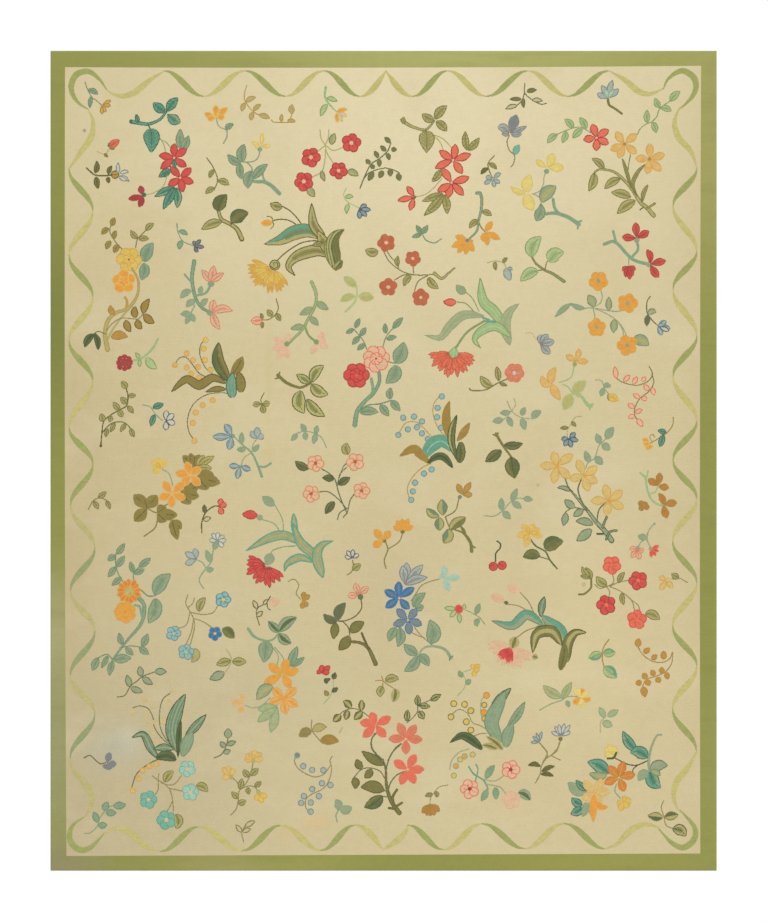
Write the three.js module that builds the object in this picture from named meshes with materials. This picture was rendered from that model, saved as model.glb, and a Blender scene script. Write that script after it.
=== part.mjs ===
// Needlepoint rug lying flat. Millimetres, +Z up, the underside is the plane z = 0 and the origin is its middle.
// The field and its border are stitched on one canvas, so the rug is one solid.
import * as THREE from "three";

// Driving sizes
const width = 3050; // along X, 10 ft
const length = 3754; // along Y, 12 ft 4 in
const thickness = 4; // wool stitches and the canvas under them
const edgeThickness = 2.6; // where the turned edge is pressed flat
const edgeRoll = 14; // how far in from the edge it has rounded up to full thickness
const cellSize = 120; // widest cell of the grid

// Creases left by folding, each a soft ridge or trough across the rug.
// at: where it lies along the other axis. from, to: its ends. half: half width. rise: height, below zero for a trough.
const creases = [
  { along: "Y", at: -27, from: -1877, to: -1500, half: 22, rise: 0.9 },
  { along: "Y", at: -27, from: 1300, to: 1877, half: 24, rise: 1.0 },
  { along: "Y", at: -310, from: -500, to: 500, half: 30, rise: 0.4 },
  { along: "X", at: 1427, from: -1300, to: 700, half: 28, rise: 0.7 },
  { along: "X", at: 1215, from: -1400, to: 200, half: 30, rise: -0.5 },
  { along: "X", at: 975, from: -1300, to: -300, half: 26, rise: 0.8 },
  { along: "X", at: 71, from: -1100, to: 1300, half: 34, rise: 0.6 },
  { along: "X", at: -900, from: -900, to: 1400, half: 30, rise: 0.7 },
  { along: "X", at: -1518, from: -1400, to: 900, half: 28, rise: -0.5 },
];

// 0 at or below a, 1 at or above b, smooth between them
const ramp = (a, b, v) => THREE.MathUtils.smoothstep(v, a, b);

// A crease is a bell curve across its line that fades in and out over its last 150 mm.
function creaseHeight(crease, x, y) {
  const across = (crease.along === "Y" ? x : y) - crease.at;
  const place = crease.along === "Y" ? y : x;
  const fade = ramp(crease.from - 75, crease.from + 75, place) * (1 - ramp(crease.to - 75, crease.to + 75, place));
  return crease.rise * fade * Math.exp(-((across / crease.half) ** 2));
}

// Height of the stitched face: full thickness and its creases, rounding down to the pressed edge.
function faceHeight(x, y) {
  const inset = Math.max(0, Math.min(width / 2 - Math.abs(x), length / 2 - Math.abs(y), edgeRoll) / edgeRoll);
  const round = Math.sqrt(1 - (1 - inset) ** 2);
  const creased = creases.reduce((sum, crease) => sum + creaseHeight(crease, x, y), 0);
  return edgeThickness + (thickness - edgeThickness + creased) * round;
}

// Lines of the grid across one axis: even cells, three lines on the rounded edge, and three on each crease.
function gridLines(span, alongOther) {
  const count = Math.ceil(span / cellSize);
  const even = Array.from({ length: count + 1 }, (_, i) => -span / 2 + (span * i) / count);
  const edge = [1, 0.7, 0.3].flatMap((f) => [-span / 2 + edgeRoll * f, span / 2 - edgeRoll * f]);
  const creased = creases.filter((c) => c.along === alongOther).flatMap((c) => [c.at - c.half, c.at, c.at + c.half]);
  const wanted = [...edge, ...new Set(creased)];
  const kept = even.filter((v) => Math.abs(v) === span / 2 || wanted.every((w) => Math.abs(w - v) > 20));
  return [...kept, ...wanted].sort((a, b) => a - b);
}

// The slab is a box whose grid is moved to the lines, its top to the face and its bottom to the floor.
function slab() {
  const xs = gridLines(width, "Y");
  const ys = gridLines(length, "X");
  const geometry = new THREE.BoxGeometry(1, 1, 1, xs.length - 1, ys.length - 1, 1);
  const p = geometry.attributes.position;
  for (let i = 0; i < p.count; i++) {
    const x = xs[Math.round((p.getX(i) + 0.5) * (xs.length - 1))];
    const y = ys[Math.round((p.getY(i) + 0.5) * (ys.length - 1))];
    p.setXYZ(i, x, y, p.getZ(i) > 0 ? faceHeight(x, y) : 0);
  }
  geometry.computeVertexNormals();
  return geometry;
}

const wool = new THREE.MeshStandardMaterial({ name: "wool", color: 0xd0c094, roughness: 0.92, metalness: 0 });

const rug = new THREE.Mesh(slab(), wool);
rug.name = "rug";

const root = new THREE.Group();
root.name = "needlepoint_rug";
root.add(rug);
export default root;
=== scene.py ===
import bpy
import numpy as np
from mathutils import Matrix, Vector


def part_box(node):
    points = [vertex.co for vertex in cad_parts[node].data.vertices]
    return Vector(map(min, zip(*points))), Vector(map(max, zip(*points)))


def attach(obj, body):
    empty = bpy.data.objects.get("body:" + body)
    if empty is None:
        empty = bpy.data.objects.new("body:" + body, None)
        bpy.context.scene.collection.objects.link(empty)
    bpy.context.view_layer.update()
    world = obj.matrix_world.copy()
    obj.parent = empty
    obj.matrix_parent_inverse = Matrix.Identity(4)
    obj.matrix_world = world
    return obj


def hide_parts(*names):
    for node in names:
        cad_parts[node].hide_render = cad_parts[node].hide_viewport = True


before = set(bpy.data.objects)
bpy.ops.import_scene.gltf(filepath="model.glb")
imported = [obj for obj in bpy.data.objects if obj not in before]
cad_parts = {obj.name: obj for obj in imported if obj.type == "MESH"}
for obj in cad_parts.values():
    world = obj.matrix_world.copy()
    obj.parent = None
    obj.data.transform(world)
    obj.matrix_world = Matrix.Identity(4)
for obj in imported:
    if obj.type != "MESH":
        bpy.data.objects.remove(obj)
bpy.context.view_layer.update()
rugLow, rugHigh = (np.array(corner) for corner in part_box("rug"))
rugWidth, rugLength = (rugHigh - rugLow)[:2]
rng = np.random.default_rng(12)

# Squares of the chart count from its top left corner, x to the right and y down; the rug starts a margin in
# from it.
chart = {"across": 665.8, "left": 50.8, "top": 50.9, "stitchesPerSquare": 2}
square = rugWidth / chart["across"]
stitch = square / chart["stitchesPerSquare"]
columns = int(round(rugWidth / stitch))
rows = int(round(rugLength / stitch))
columnAt = chart["left"] + (np.arange(columns) + 0.5) / chart["stitchesPerSquare"]
rowAt = chart["top"] + (np.arange(rows) + 0.5) / chart["stitchesPerSquare"]
yarnAt = np.full((rows, columns), -1)
sprayAt = np.full((rows, columns), -1)
sprayNames = []
moved, dyeLot = np.zeros(2), {}

# Wools, as the eye sees them, 0 to 255
wools = {
    "deepTeal": (52, 102, 84), "teal": (96, 158, 130), "seaTeal": (130, 160, 126),
    "greyTeal": (148, 162, 126), "tealLine": (106, 138, 106), "bottle": (66, 84, 52),
    "forest": (90, 106, 64), "leafGreen": (130, 154, 98), "freshGreen": (156, 184, 128),
    "paleGreen": (174, 194, 134), "darkOlive": (90, 86, 46), "olive": (120, 116, 62),
    "lightOlive": (176, 168, 106), "straw": (184, 178, 110), "bronze": (160, 128, 58),
    "ochre": (184, 142, 62), "gold": (212, 164, 70), "orange": (230, 156, 62), "peach": (222, 178, 106),
    "yellow": (220, 188, 92), "paleYellow": (226, 206, 120), "red": (214, 72, 70), "deepRed": (160, 52, 50),
    "crimson": (168, 48, 58), "coral": (228, 110, 84), "deepCoral": (186, 84, 58), "pink": (208, 130, 98),
    "palePink": (226, 184, 150), "brick": (188, 100, 68), "navy": (70, 84, 96), "blue": (88, 126, 142),
    "deepBlue": (46, 110, 162), "skyBlue": (128, 154, 156), "paleBlue": (164, 178, 164),
    "mauve": (128, 124, 126), "greyBlue": (120, 134, 134), "greyGreen": (98, 106, 74),
    "turquoise": (114, 178, 156), "aqua": (162, 198, 176), "white": (200, 200, 176),
    "cream": (200, 186, 142), "sage": (157, 164, 94), "hay": (198, 188, 116), "sageGrey": (166, 176, 126),
    "paleGold": (216, 186, 114), "rust": (184, 124, 54), "fadedPink": (220, 182, 144),
    "oliveStem": (142, 130, 80), "turquoiseSky": (136, 186, 176), "orangeDeep": (222, 128, 52),
    "khaki": (140, 124, 62), "terracotta": (216, 130, 80), "fadedSage": (150, 160, 110),
    "fadedHay": (188, 180, 120),
}
woolNames = list(wools)


# A wool between two others, twisted from both, at a share of the way from the first to the second.
def blend(first, second, share=0.4):
    first, second = dyeLot.get(first, first), dyeLot.get(second, second)
    name = f"{first}-{second}-{share}"
    if name not in wools:
        a, b = np.array(wools[first]), np.array(wools[second])
        wools[name] = tuple((a + (b - a) * share).round().astype(int).tolist())
        woolNames.append(name)
    return name


# Colour for a surface that should look like 0 to 255 values: ((c + 0.055) / 1.055) to the power 2.4, or c /
# 12.92 near black, and less by the light of the room, which is a little over full white.
roomLight = 1.08


def linear(rgb):
    c = np.asarray(rgb, float) / 255
    return np.where(c > 0.04045, ((c + 0.055) / 1.055) ** 2.4, c / 12.92) / roomLight


# Begins a spray: what is sewn after this belongs to the piece of that name, and is moved right and down by
# some squares. Wools that it has from another dye lot are given by name.
def spray(name, right=0.2, down=0.4, **otherLot):
    sprayNames.append(name)
    moved[:] = right, down
    dyeLot.clear()
    dyeLot.update(otherLot)


# Sews wool on the stitches of a block where the mask holds.
def sew(block, where, wool):
    yarnAt[block][where] = woolNames.index(dyeLot.get(wool, wool))
    sprayAt[block][where] = len(sprayNames) - 1


# The block of stitches within reach of some points, and the chart x and y of each stitch in it.
def blockNear(points, reach):
    low, high = points.min(0) - reach + moved, points.max(0) + reach + moved
    c0, c1 = np.searchsorted(columnAt, [low[0], high[0]])
    r0, r1 = np.searchsorted(rowAt, [low[1], high[1]])
    x, y = np.meshgrid(columnAt[c0:c1], rowAt[r0:r1])
    return (slice(r0, r1), slice(c0, c1)), x - moved[0], y - moved[1]


# A smooth line through points: on each span a cubic whose slopes are half the step between its neighbours.
def smoothLine(points):
    p = np.array(points, float)
    p = np.vstack([2 * p[0] - p[1], p, 2 * p[-1] - p[-2]])
    spans = []
    for a, b, c, d in zip(p[:-3], p[1:-2], p[2:-1], p[3:]):
        t = np.linspace(0, 1, max(3, int(np.hypot(*(c - b)) / 0.6)), endpoint=False)[:, None]
        second, third = 2 * a - 5 * b + 4 * c - d, 3 * b - a - 3 * c + d
        spans.append(0.5 * (2 * b + (c - a) * t + second * t**2 + third * t**3))
    return np.vstack([*spans, p[-2]])


# For each stitch: its share of the way along the line at the nearest point, how far it is, and on which side.
# The last value is the line's length.
def alongLine(line, x, y):
    step = np.gradient(line, axis=0)
    share = np.concatenate([[0], np.cumsum(np.hypot(*np.diff(line, axis=0).T))])
    far = (x[..., None] - line[:, 0]) ** 2 + (y[..., None] - line[:, 1]) ** 2
    near = far.argmin(-1)
    side = step[near, 0] * (y - line[near, 1]) - step[near, 1] * (x - line[near, 0])
    return share[near] / share[-1], np.sqrt(far.min(-1)), side < 0, share[-1]


# Point at a distance and an angle from a centre; 0 degrees is right and 90 is up.
def polar(centre, distance, degrees):
    angle = np.radians(degrees)
    return (centre[0] + distance * np.cos(angle), centre[1] - distance * np.sin(angle))


# A stem: stitches nearer its line than half its width, which may change from start to end.
def stem(wool, width, *points, endWidth=None):
    line = smoothLine(points)
    block, x, y = blockNear(line, width + 1)
    share, far, _, _ = alongLine(line, x, y)
    end = width if endWidth is None else endWidth
    sew(block, far <= (width + (end - width) * share) / 2, wool)


# Round dots of one wool and radius: the stitches nearer than the radius to each centre.
def dot(wool, radius, *centres):
    for centre in centres:
        block, x, y = blockNear(np.array([centre]), radius + 1)
        sew(block, np.hypot(x - centre[0], y - centre[1]) <= radius, wool)


# The wools of a leaf or petal. edge: outline. fill and other: the two halves. vein: midrib. rib: side veins.
# stripe: lines beside the midrib. heart: a streak along the middle. eye: the middle of a rose.
def sewn(edge, fill, **more):
    return {"edge": edge, "fill": fill, **more}


# Width of the outline round a disc, in chart squares
outlineWidth = 0.9

looks = dict(
    teal=sewn("deepTeal", "teal", vein="deepTeal"),
    tealRibbed=sewn("deepTeal", "teal", vein="deepTeal", rib="deepTeal"),
    greyTeal=sewn("tealLine", "greyTeal", vein="tealLine"), seaTeal=sewn("tealLine", "seaTeal"),
    olive=sewn("darkOlive", "olive", vein="darkOlive"),
    lightOlive=sewn("olive", "lightOlive", vein="olive"), forest=sewn("bottle", "forest", vein="bottle"),
    red=sewn("deepRed", "red"), coral=sewn("deepCoral", "coral"),
    coralRibbed=sewn("deepCoral", "coral", vein="deepCoral"), ochre=sewn("bronze", "gold"),
    openPetal=sewn("greyBlue", "white"),
    tealCream=sewn("deepTeal", "teal", other="greyTeal", vein="deepTeal"),
    greyTealRibbed=sewn("tealLine", "greyTeal", vein="tealLine", rib="seaTeal"),
    seaRibbed=sewn("tealLine", "seaTeal", vein="tealLine", rib="greyTeal"),
    crimson=sewn("deepRed", "crimson"), orangeSoft=sewn("yellow", "orange"),
    tan=sewn("ochre", "lightOlive"), paleYellow=sewn("yellow", "paleYellow"),
    greenOlive=sewn("bottle", "olive", other="forest", vein="bottle"),
    greenHeart=sewn("bottle", "forest", heart="olive"), mauve=sewn("navy", "mauve"),
    oliveOchre=sewn("olive", "ochre", vein="olive"), goldRose=sewn("gold", "yellow", eye="bronze"),
    orangeRose=sewn("yellow", "orange", eye="peach"), fresh=sewn("leafGreen", "paleGreen"),
    sageHalf=sewn("olive", "lightOlive", other="greyTeal"),
    redVeined=sewn("deepRed", "red", vein="deepRed"), fern=sewn("greyGreen", "olive"),
    oliveRibbed=sewn("olive", "lightOlive", vein="olive", rib="olive"), coralStar=sewn("crimson", "coral"),
    blue=sewn("navy", "blue"), brick=sewn("brick", "brick", vein="deepCoral"),
    orange=sewn("gold", "orange"), paleBlue=sewn("greyBlue", "paleBlue"),
    greyOpen=sewn("greyGreen", "cream"), lilyGrey=sewn("mauve", "greyBlue", vein="mauve"),
    lilyPale=sewn("mauve", "paleBlue", vein="mauve"),
    lightOliveDark=sewn("darkOlive", "lightOlive", vein="olive"),
    tealTan=sewn("olive", "teal", other="lightOlive", vein="olive"),
    darkStriped=sewn("bottle", "olive", other="lightOlive", stripe="forest"),
    goldCarnation=sewn("gold", "gold", other="yellow"),
    coralCarnation=sewn("deepCoral", "coral", other="coral"), tulipHeart=sewn("greyTeal", "aqua"),
    paleLeaf=sewn("leafGreen", "paleGreen", vein="leafGreen"), apricot=sewn("gold", "peach"),
    yellow=sewn("gold", "yellow"), greyTan=sewn("tealLine", "greyTeal", heart="lightOlive"),
    greyLeaf=sewn("seaTeal", "greyTeal"), bronzeDark=sewn("darkOlive", "bronze"),
    bronze=sewn("bronze", "ochre"), bronzeFull=sewn("bronze", "bronze"),
    bottle=sewn("bottle", "forest", heart="bottle"), pinkLily=sewn("pink", "palePink", vein="pink"),
    palePink=sewn("palePink", "palePink"), oliveFull=sewn("olive", "olive", vein="darkOlive"),
    oliveBright=sewn("olive", "straw", vein="olive"),
    tealStriped=sewn("deepTeal", "teal", stripe="seaTeal"),
    oliveDeep=sewn("darkOlive", "olive", heart="lightOlive"), mauveOpen=sewn("navy", "white"),
    skyPetal=sewn("blue", "skyBlue", stripe="paleBlue"), orangeStar=sewn("peach", "orange"),
    darkOpen=sewn("darkOlive", "cream"), pinkVeined=sewn("coral", "palePink", vein="coral"),
    freshTeal=sewn("leafGreen", "greyTeal"), greyGreenLeaf=sewn("greyGreen", "greyGreen"),
    goldBud=sewn("gold", "yellow", vein="gold"), coralOpen=sewn("coral", "palePink"),
    starBlue=sewn("navy", "skyBlue"), duskLeaf=sewn("greyGreen", "greyTeal"),
    paleStar=sewn("gold", "paleGold"), rustPetal=sewn("bronze", "rust"),
    marigold=sewn("gold", "orangeDeep"), peachRose=sewn("gold", "orange", eye="orangeDeep"),
    darkHalf=sewn("olive", "olive", other="forest"), blueRound=sewn("blue", "turquoiseSky", vein="blue"),
    deepBlueRound=sewn("blue", "deepBlue"), paleBlueRound=sewn("greyBlue", "turquoiseSky", vein="greyBlue"),
    redCarnation=sewn("deepRed", "red", other="red"), fadedPink=sewn("fadedPink", "fadedPink"),
    seaDark=sewn("tealLine", "greyTeal", heart="forest"), peachStar=sewn("orange", "peach", heart="orange"),
    fadedCoral=sewn("fadedPink", "peach"), seaPale=sewn("seaTeal", "sageGrey"),
    faintBell=sewn("paleGold", "cream"), duskBlade=sewn("bottle", "tealLine", stripe="greyTeal"),
    blueStar=sewn("blue", "blue", heart="skyBlue"), blueMauveStar=sewn("blue", "greyBlue"),
    aquaPetal=sewn("aqua", "aqua"), oliveHeart=sewn("lightOlive", "lightOlive", heart="olive"),
    leafTeal=sewn("leafGreen", "seaTeal"), yellowOlive=sewn("olive", "yellow"),
    orangeBell=sewn("ochre", "orange"), greyTealBlade=sewn("tealLine", "seaTeal", stripe="greyTeal"),
    duskOlive=sewn("bottle", "lightOlive", vein="bottle"), deepCoralStar=sewn("coral", "coral"),
    pinkStar=sewn("coral", "pink", vein="coral"), redSmall=sewn("coral", "red"),
    yellowPink=sewn("peach", "yellow"), redRing=sewn("red", "pink", vein="red"),
    tealTanBlade=sewn("tealLine", "teal", other="greyTeal"),
    fringe=sewn("fadedPink", "palePink", other="fadedPink"), redFringe=sewn("red", "red", other="crimson"),
    freshHalf=sewn("leafGreen", "paleGreen", other="teal", vein="leafGreen"),
    rustLeaf=sewn("rust", "ochre"), tealTanOpen=sewn("seaTeal", "straw", vein="seaTeal"),
    paleYellowPetal=sewn("paleYellow", "paleYellow"),
    tealDarkHalf=sewn("deepTeal", "teal", other="seaTeal", vein="deepTeal"),
    aquaRound=sewn("turquoise", "aqua"), turquoiseRound=sewn("teal", "turquoise"),
    oliveOpen=sewn("olive", "cream"), tealBead=sewn("seaTeal", "greyBlue"),
    tealYellow=sewn("seaTeal", "yellow"), tealOrange=sewn("seaTeal", "orange"),
    pinkRing=sewn("coral", "palePink", vein="red"), fadedRound=sewn("fadedPink", "palePink"),
    forestHeart=sewn("seaTeal", "greyTeal", heart="forest"),
    orangeDeepStar=sewn("rust", "orangeDeep", vein="gold"), orangeFull=sewn("orange", "orange"),
    apricotOpen=sewn("peach", "paleGold"), oliveForestHalf=sewn("olive", "lightOlive", other="forest"),
    strawLeaf=sewn("paleGreen", "straw"), greenBlade=sewn("leafGreen", "freshGreen", stripe="paleGreen"),
    sageBlade=sewn("greyTeal", "sageGrey", vein="greyTeal"), pinkRose=sewn("coral", "palePink", eye="red"),
    redRose=sewn("deepRed", "red", eye="coral"), strawDark=sewn("bottle", "straw", vein="olive"),
    blueBell=sewn("greyBlue", "turquoiseSky"), tealAqua=sewn("teal", "teal", vein="aqua"),
    pinkRound=sewn("coral", "pink", vein="palePink"),
    greyTanHalf=sewn("olive", "greyTeal", other="lightOlive"), tanSoft=sewn("oliveStem", "lightOlive"),
    khakiLeaf=sewn("bronze", "oliveStem"), bronzeOpen=sewn("bronze", "lightOlive"),
    tealEdgeBlade=sewn("teal", "greyTeal", stripe="lightOlive"),
)


# A leaf or petal along a smooth line. Its half width is width / 2 times sin(pi share^k)^blunt, with k set
# so that it is widest at the share fat. A thin outline, halves, a midrib and side veins follow its look. A
# leaf with a midrib is darker along its middle. A single middle point is the side that it bulges to, and
# its midrib bends 0.3 as far. With no middle point, the midrib bends by chance.
def leaf(look, width, *points, fat=0.45, blunt=0.8, outline=1.0):
    wool = looks[look] if isinstance(look, str) else look
    base, *middle, tip = (np.array(p, float) for p in points)
    if not middle:
        middle = [(base + tip) / 2 + (tip - base)[::-1] * (1, -1) * rng.uniform(-0.03, 0.03)]
    elif len(middle) == 1:
        middle = [middle[0] * 0.3 + (base + tip) * 0.35]
    line = smoothLine([base, *middle, tip])
    block, x, y = blockNear(line, width / 2 + 1)
    share, far, left, length = alongLine(line, x, y)
    half = width / 2 * np.sin(np.pi * share ** (np.log(0.5) / np.log(fat))).clip(0) ** blunt
    inside = far < half
    sew(block, inside, wool["fill"])
    if "other" in wool:
        sew(block, inside & left, wool["other"])
    if "rib" in wool:
        sew(block, inside & ((share * length + 0.8 * far) % 3.2 < 0.8) & (far > 0.5), wool["rib"])
    if "stripe" in wool:
        sew(block, inside & (far % 2.6 < 0.9), wool["stripe"])
    if "heart" in wool:
        sew(block, far < 0.35 * half, wool["heart"])
    if {"edge", "vein"} <= set(wool) and "heart" not in wool:
        sew(block, inside & (far < 0.42 * half) & (share < 0.65), blend(wool["fill"], wool["edge"]))
    if "vein" in wool:
        sew(block, (far < 0.45) & (share < 0.82) & inside, wool["vein"])
    if "edge" in wool:
        sew(block, inside & (far > half - outline), wool["edge"])


# A flower of pointed petals round a centre, each a leaf, a little uneven in length and angle.
def star(look, centre, reach, width, count, fat, eye, eyeSize):
    for k in range(count):
        angle = 90 + 360 / count * k + rng.uniform(-4, 4)
        long = reach * rng.uniform(0.93, 1.06)
        middle = polar(centre, long * 0.5, angle + rng.uniform(-5, 5))
        leaf(look, width, polar(centre, 0.6, angle), middle, polar(centre, long, angle), fat=fat, blunt=0.9)
    dot(eye, eyeSize, centre)


# Round flowers of one look, turned by chance. Each row is a centre and a radius. Petals are discs on a
# ring, each outlined and sewn over the last, with a dot for the eye.
def rounds(look, eye, *rows, count=5):
    wool = looks[look]
    for x, y, radius in rows:
        centre, turn = (x, y), rng.uniform(0, 72)
        for k in range(count):
            petal = polar(centre, radius * 0.55, turn + 360 / count * k + rng.uniform(-4, 4))
            size = radius * 0.5 * rng.uniform(0.94, 1.06)
            dot(wool["edge"], size, petal)
            dot(wool["fill"], size - outlineWidth, petal)
            if "vein" in wool:
                stem(wool["vein"], 0.7, polar(centre, radius * 0.3, turn + 360 / count * k), petal)
        dot(eye, radius * 0.21, centre)


# A fan-shaped flower, as a carnation's: long thin petals from one point, a long row and a shorter one
# before it.
def fan(look, base, reach, toward, spread, count, width):
    wool = looks[look]
    for length, part in ((1.0, "fill"), (0.72, "other")):
        for k in range(count):
            angle = toward + spread * (k / (count - 1) - 0.5) + rng.uniform(-3, 3)
            tip = polar(base, reach * length * rng.uniform(0.86, 1.06), angle)
            petal = {"edge": wool["edge"], "fill": wool[part]}
            leaf(petal, width, base, tip, fat=0.72, outline=0.7)


# A rose: outlined petals round a ring, then a smaller round of petals turned half a petal, and an eye.
def rose(look, centre, radius, count, turn, inner=0.52):
    wool = looks[look]
    for size, about, far in ((radius, turn, 0.56), (radius * inner, turn + 180 / count, 0.5)):
        for k in range(count):
            petal = polar(centre, size * far, about + 360 / count * k + rng.uniform(-5, 5))
            disc = size * 0.46 * rng.uniform(0.94, 1.05)
            dot(wool["edge"], disc, petal)
            dot(wool["fill"], disc - outlineWidth, petal)
    dot(wool["fill"], radius * 0.2, centre)
    dot(wool["eye"], 1.2, centre)


# Points of a flat row of numbers: x, y, x, y and so on.
def pairs(row):
    return list(zip(row[0::2], row[1::2]))


# Several leaves of one look. Each row is a width, then the points from base to tip.
def leaves(look, *rows, **shape):
    for width, *row in rows:
        leaf(look, width, *pairs(row), **shape)


# Petals of one look and width: the row is the point that they leave from, then the tips.
def petals(look, width, *row, fat=0.58, eye=None, **shape):
    base, *tips = pairs(row)
    for tip in tips:
        leaf(look, width, base, tip, fat=fat, **shape)
    if eye:
        dot(eye, 1.2, base)


# Several stems of one wool. Each row is a width, then the points along it.
def stems(wool, *rows, endWidth=None):
    for width, *row in rows:
        stem(wool, width, *pairs(row), endWidth=endWidth)


# A branch with a dark edge: a wide stem, then a narrower one of its own wool.
def branch(edge, fill, width, *row, endWidth=None):
    end = width if endWidth is None else endWidth
    stem(edge, width, *pairs(row), endWidth=end)
    stem(fill, max(width - 1.7, 0.6), *pairs(row), endWidth=max(end - 1.7, 0.6))


# Berries or small bells of one look and radius, at each place of the row: a disc on a wider one.
def berries(look, radius, *row):
    wool = looks[look]
    for place in pairs(row):
        dot(wool["edge"], radius, place)
        dot(wool["fill"], radius - outlineWidth, place)


spray("blueLeafOchreBell")
stems("tealLine", (1, 84.8, 81.5, 87, 88, 91.4, 96.5, 96, 100, 101.4, 104.7))
leaves("greyTeal", (6, 88, 89, 93, 88.5, 98, 94), (5, 91.4, 95.5, 88.5, 102, 89.7, 108))
petals("ochre", 4.2, 101.6, 104.4, 111, 99.7, 110.8, 105.5, 106, 112, 102, 114, fat=0.6)

spray("coralRosebud")
stems("lightOlive", (0.9, 97, 151, 101, 153, 105, 154, 109.6, 147.8))
leaves("lightOlive", (3.4, 104, 153, 108, 157))
leaves("coralRibbed", (8, 108.8, 147.4, 113, 142, 119.8, 139.4))
leaves("lightOlive", (2.6, 108.5, 147, 108.6, 142), (2.6, 109.5, 148, 115, 148.6))

spray("oliveHoneysuckle")
stems("darkOlive", (1.5, 86.4, 167.7, 90, 171, 95, 174.6, 104.7, 175.2, 113, 174.3))
leaves("olive", (6, 94.7, 173, 99.6, 167, 96.4, 160.2), (6.4, 96, 176, 95.6, 182, 98.2, 188.6),
    (5, 108, 174.3, 107, 169, 112, 165), (4.6, 108, 176, 107.2, 180, 109, 183))
dot("darkOlive", 4.2, (114.8, 174.2))
leaves({"fill": "ochre", "vein": "darkOlive"}, (6.4, 111.6, 174.2, 118.2, 174.2), blunt=0.5)
leaves("openPetal", (4.4, 118, 173, 116.8, 167, 118.2, 161.8), (4.4, 119.5, 173, 125, 169, 129, 171.5),
    (4.4, 119, 175.4, 126, 176, 129.4, 181.5), (4.4, 118.6, 176, 122, 180, 127.5, 180))

spray("tealStarSpray")
stems("deepTeal", (4.2, 131, 121.2, 141, 123, 149.5, 123.4, 159.4, 119.2, 165.8, 112), endWidth=2.4)
stems("teal", (2.4, 133, 121.2, 141, 123, 149.5, 123.4, 159.4, 119.2, 165.8, 112), endWidth=0.8)
leaves("teal", (5, 138, 123, 137.6, 118.6, 135.6, 113.6))
stems("deepTeal", (1.4, 147.8, 123.7, 150.3, 129))
stems("greyTeal", (1, 160, 138, 163.6, 144, 165.6, 152), (1, 160, 139, 166, 142, 171, 148))
leaves("tealRibbed", (10, 165.6, 112, 159, 109.4, 152.8, 102.2), (10, 166.2, 111.4, 170, 103, 177.8, 97),
    fat=0.5)
leaves("tealCream", (11, 167, 113.6, 171, 120.6, 180.4, 122.2), fat=0.55)
leaves("tealRibbed", (16.5, 150.4, 128, 153.6, 138, 151, 152.4), fat=0.34, blunt=0.8)
leaves("greyTealRibbed", (9, 181.2, 150, 177.6, 138, 180.2, 128), (8.4, 181.6, 150, 187, 144, 188.6, 135))
petals("red", 8, 174, 157.4, 174.3, 142.6, 187, 148.4, 186.6, 166.4, 160, 168.8, 158.4, 155, fat=0.55)
dot("palePink", 1.2, (174, 157.4))
petals("red", 8, 180, 177.3, 169.8, 165.8, 191.4, 167.4, 193.6, 182.6, 182.8, 192, 167.6, 185.2, fat=0.55)
dot("palePink", 1.2, (180, 177.3))
leaves("teal", (5, 174, 158.6, 174.6, 168.6))
leaves("tealRibbed", (7.6, 171.4, 169.4, 164, 170.6, 158.4, 177))
leaves("teal", (4, 169.6, 172, 163.4, 177))
stems("lightOlive", (0.9, 166.9, 175, 163, 186, 152.8, 192.6, 144.5, 194.6))
petals("crimson", 6.6, 143, 195, 139.6, 185, 127.6, 198.6, 138.7, 207, fat=0.55)
dot("deepTeal", 2.2, (143.8, 194.4))
leaves("tealCream", (8, 175.2, 187, 163, 190, 154, 196.4), (8.6, 175.8, 187, 180.6, 196, 177, 208))
leaves("tealRibbed", (9, 175, 187, 168, 199, 162.6, 209.4))

spray("orangeFlowerGreyStem")
stems("greyTeal", (1.2, 216, 118, 218.6, 125.6, 225.6, 129.4), (1.5, 226.8, 128, 226.8, 136, 223.2, 143))
leaves("greyTealRibbed", (6.4, 225.2, 129, 228, 124.4, 233.4, 123.6))
petals("orangeSoft", 6.6, 216, 117.6, 204.2, 112.6, 207, 118.6, 227.6, 107, 224.6, 116.2, 215.8, 104.4,
    fat=0.6)

spray("tanTwig")
stems("ochre", (1, 246.6, 84.8, 244, 96, 247.3, 104.7, 255.6, 113, 266, 117),
    (1, 271.3, 119.6, 273.6, 121.6, 281, 122, 288.6, 121.3, 292, 113))
leaves("tan", (5.6, 245.4, 101.6, 250, 96.4, 255.8, 96.6), (5.2, 244.8, 102, 242, 106, 241.4, 111.4),
    (5, 253, 110.5, 256, 105, 261, 103.8), (5.4, 253, 111.4, 250, 116, 250.8, 120.4),
    (6, 258.6, 114.4, 264, 114.4, 270, 118), (4.2, 281.4, 121.6, 280, 117, 282, 113.4),
    (6.6, 292, 113.6, 289.6, 109, 292, 103.6), (5, 287, 121, 291.6, 118, 295.6, 121.4))

spray("greyBranchYellowFlower")
stems("seaTeal", (1.2, 259.7, 151, 258, 157, 253, 161, 244, 161.9), (1.4, 247.3, 162.4, 251.4, 167, 252,
    172))
stems("seaTeal", (3.4, 254, 181, 264, 181.6, 272, 186, 279, 193), endWidth=4)
stems("seaTeal", (1.8, 262.4, 171.6, 263, 177, 266, 182))
leaves("greyTealRibbed", (10.5, 242.3, 162.4, 236.4, 153, 244.2, 143.4), (8.4, 240.8, 163.4, 232.6, 164.6,
    227.2, 154), (8.4, 240, 162.6, 236.8, 171, 241.8, 179), (11, 251.6, 170.4, 244.4, 178, 247.6, 188.2),
    (9, 252.6, 178.6, 257, 169, 267.6, 163.4))
petals("paleYellow", 4.6, 260.8, 146.6, 262.2, 132.6, 251.6, 141.4, 254.6, 146, 270.4, 145, fat=0.6)
dot("seaTeal", 2.4, (259.7, 149))

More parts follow.
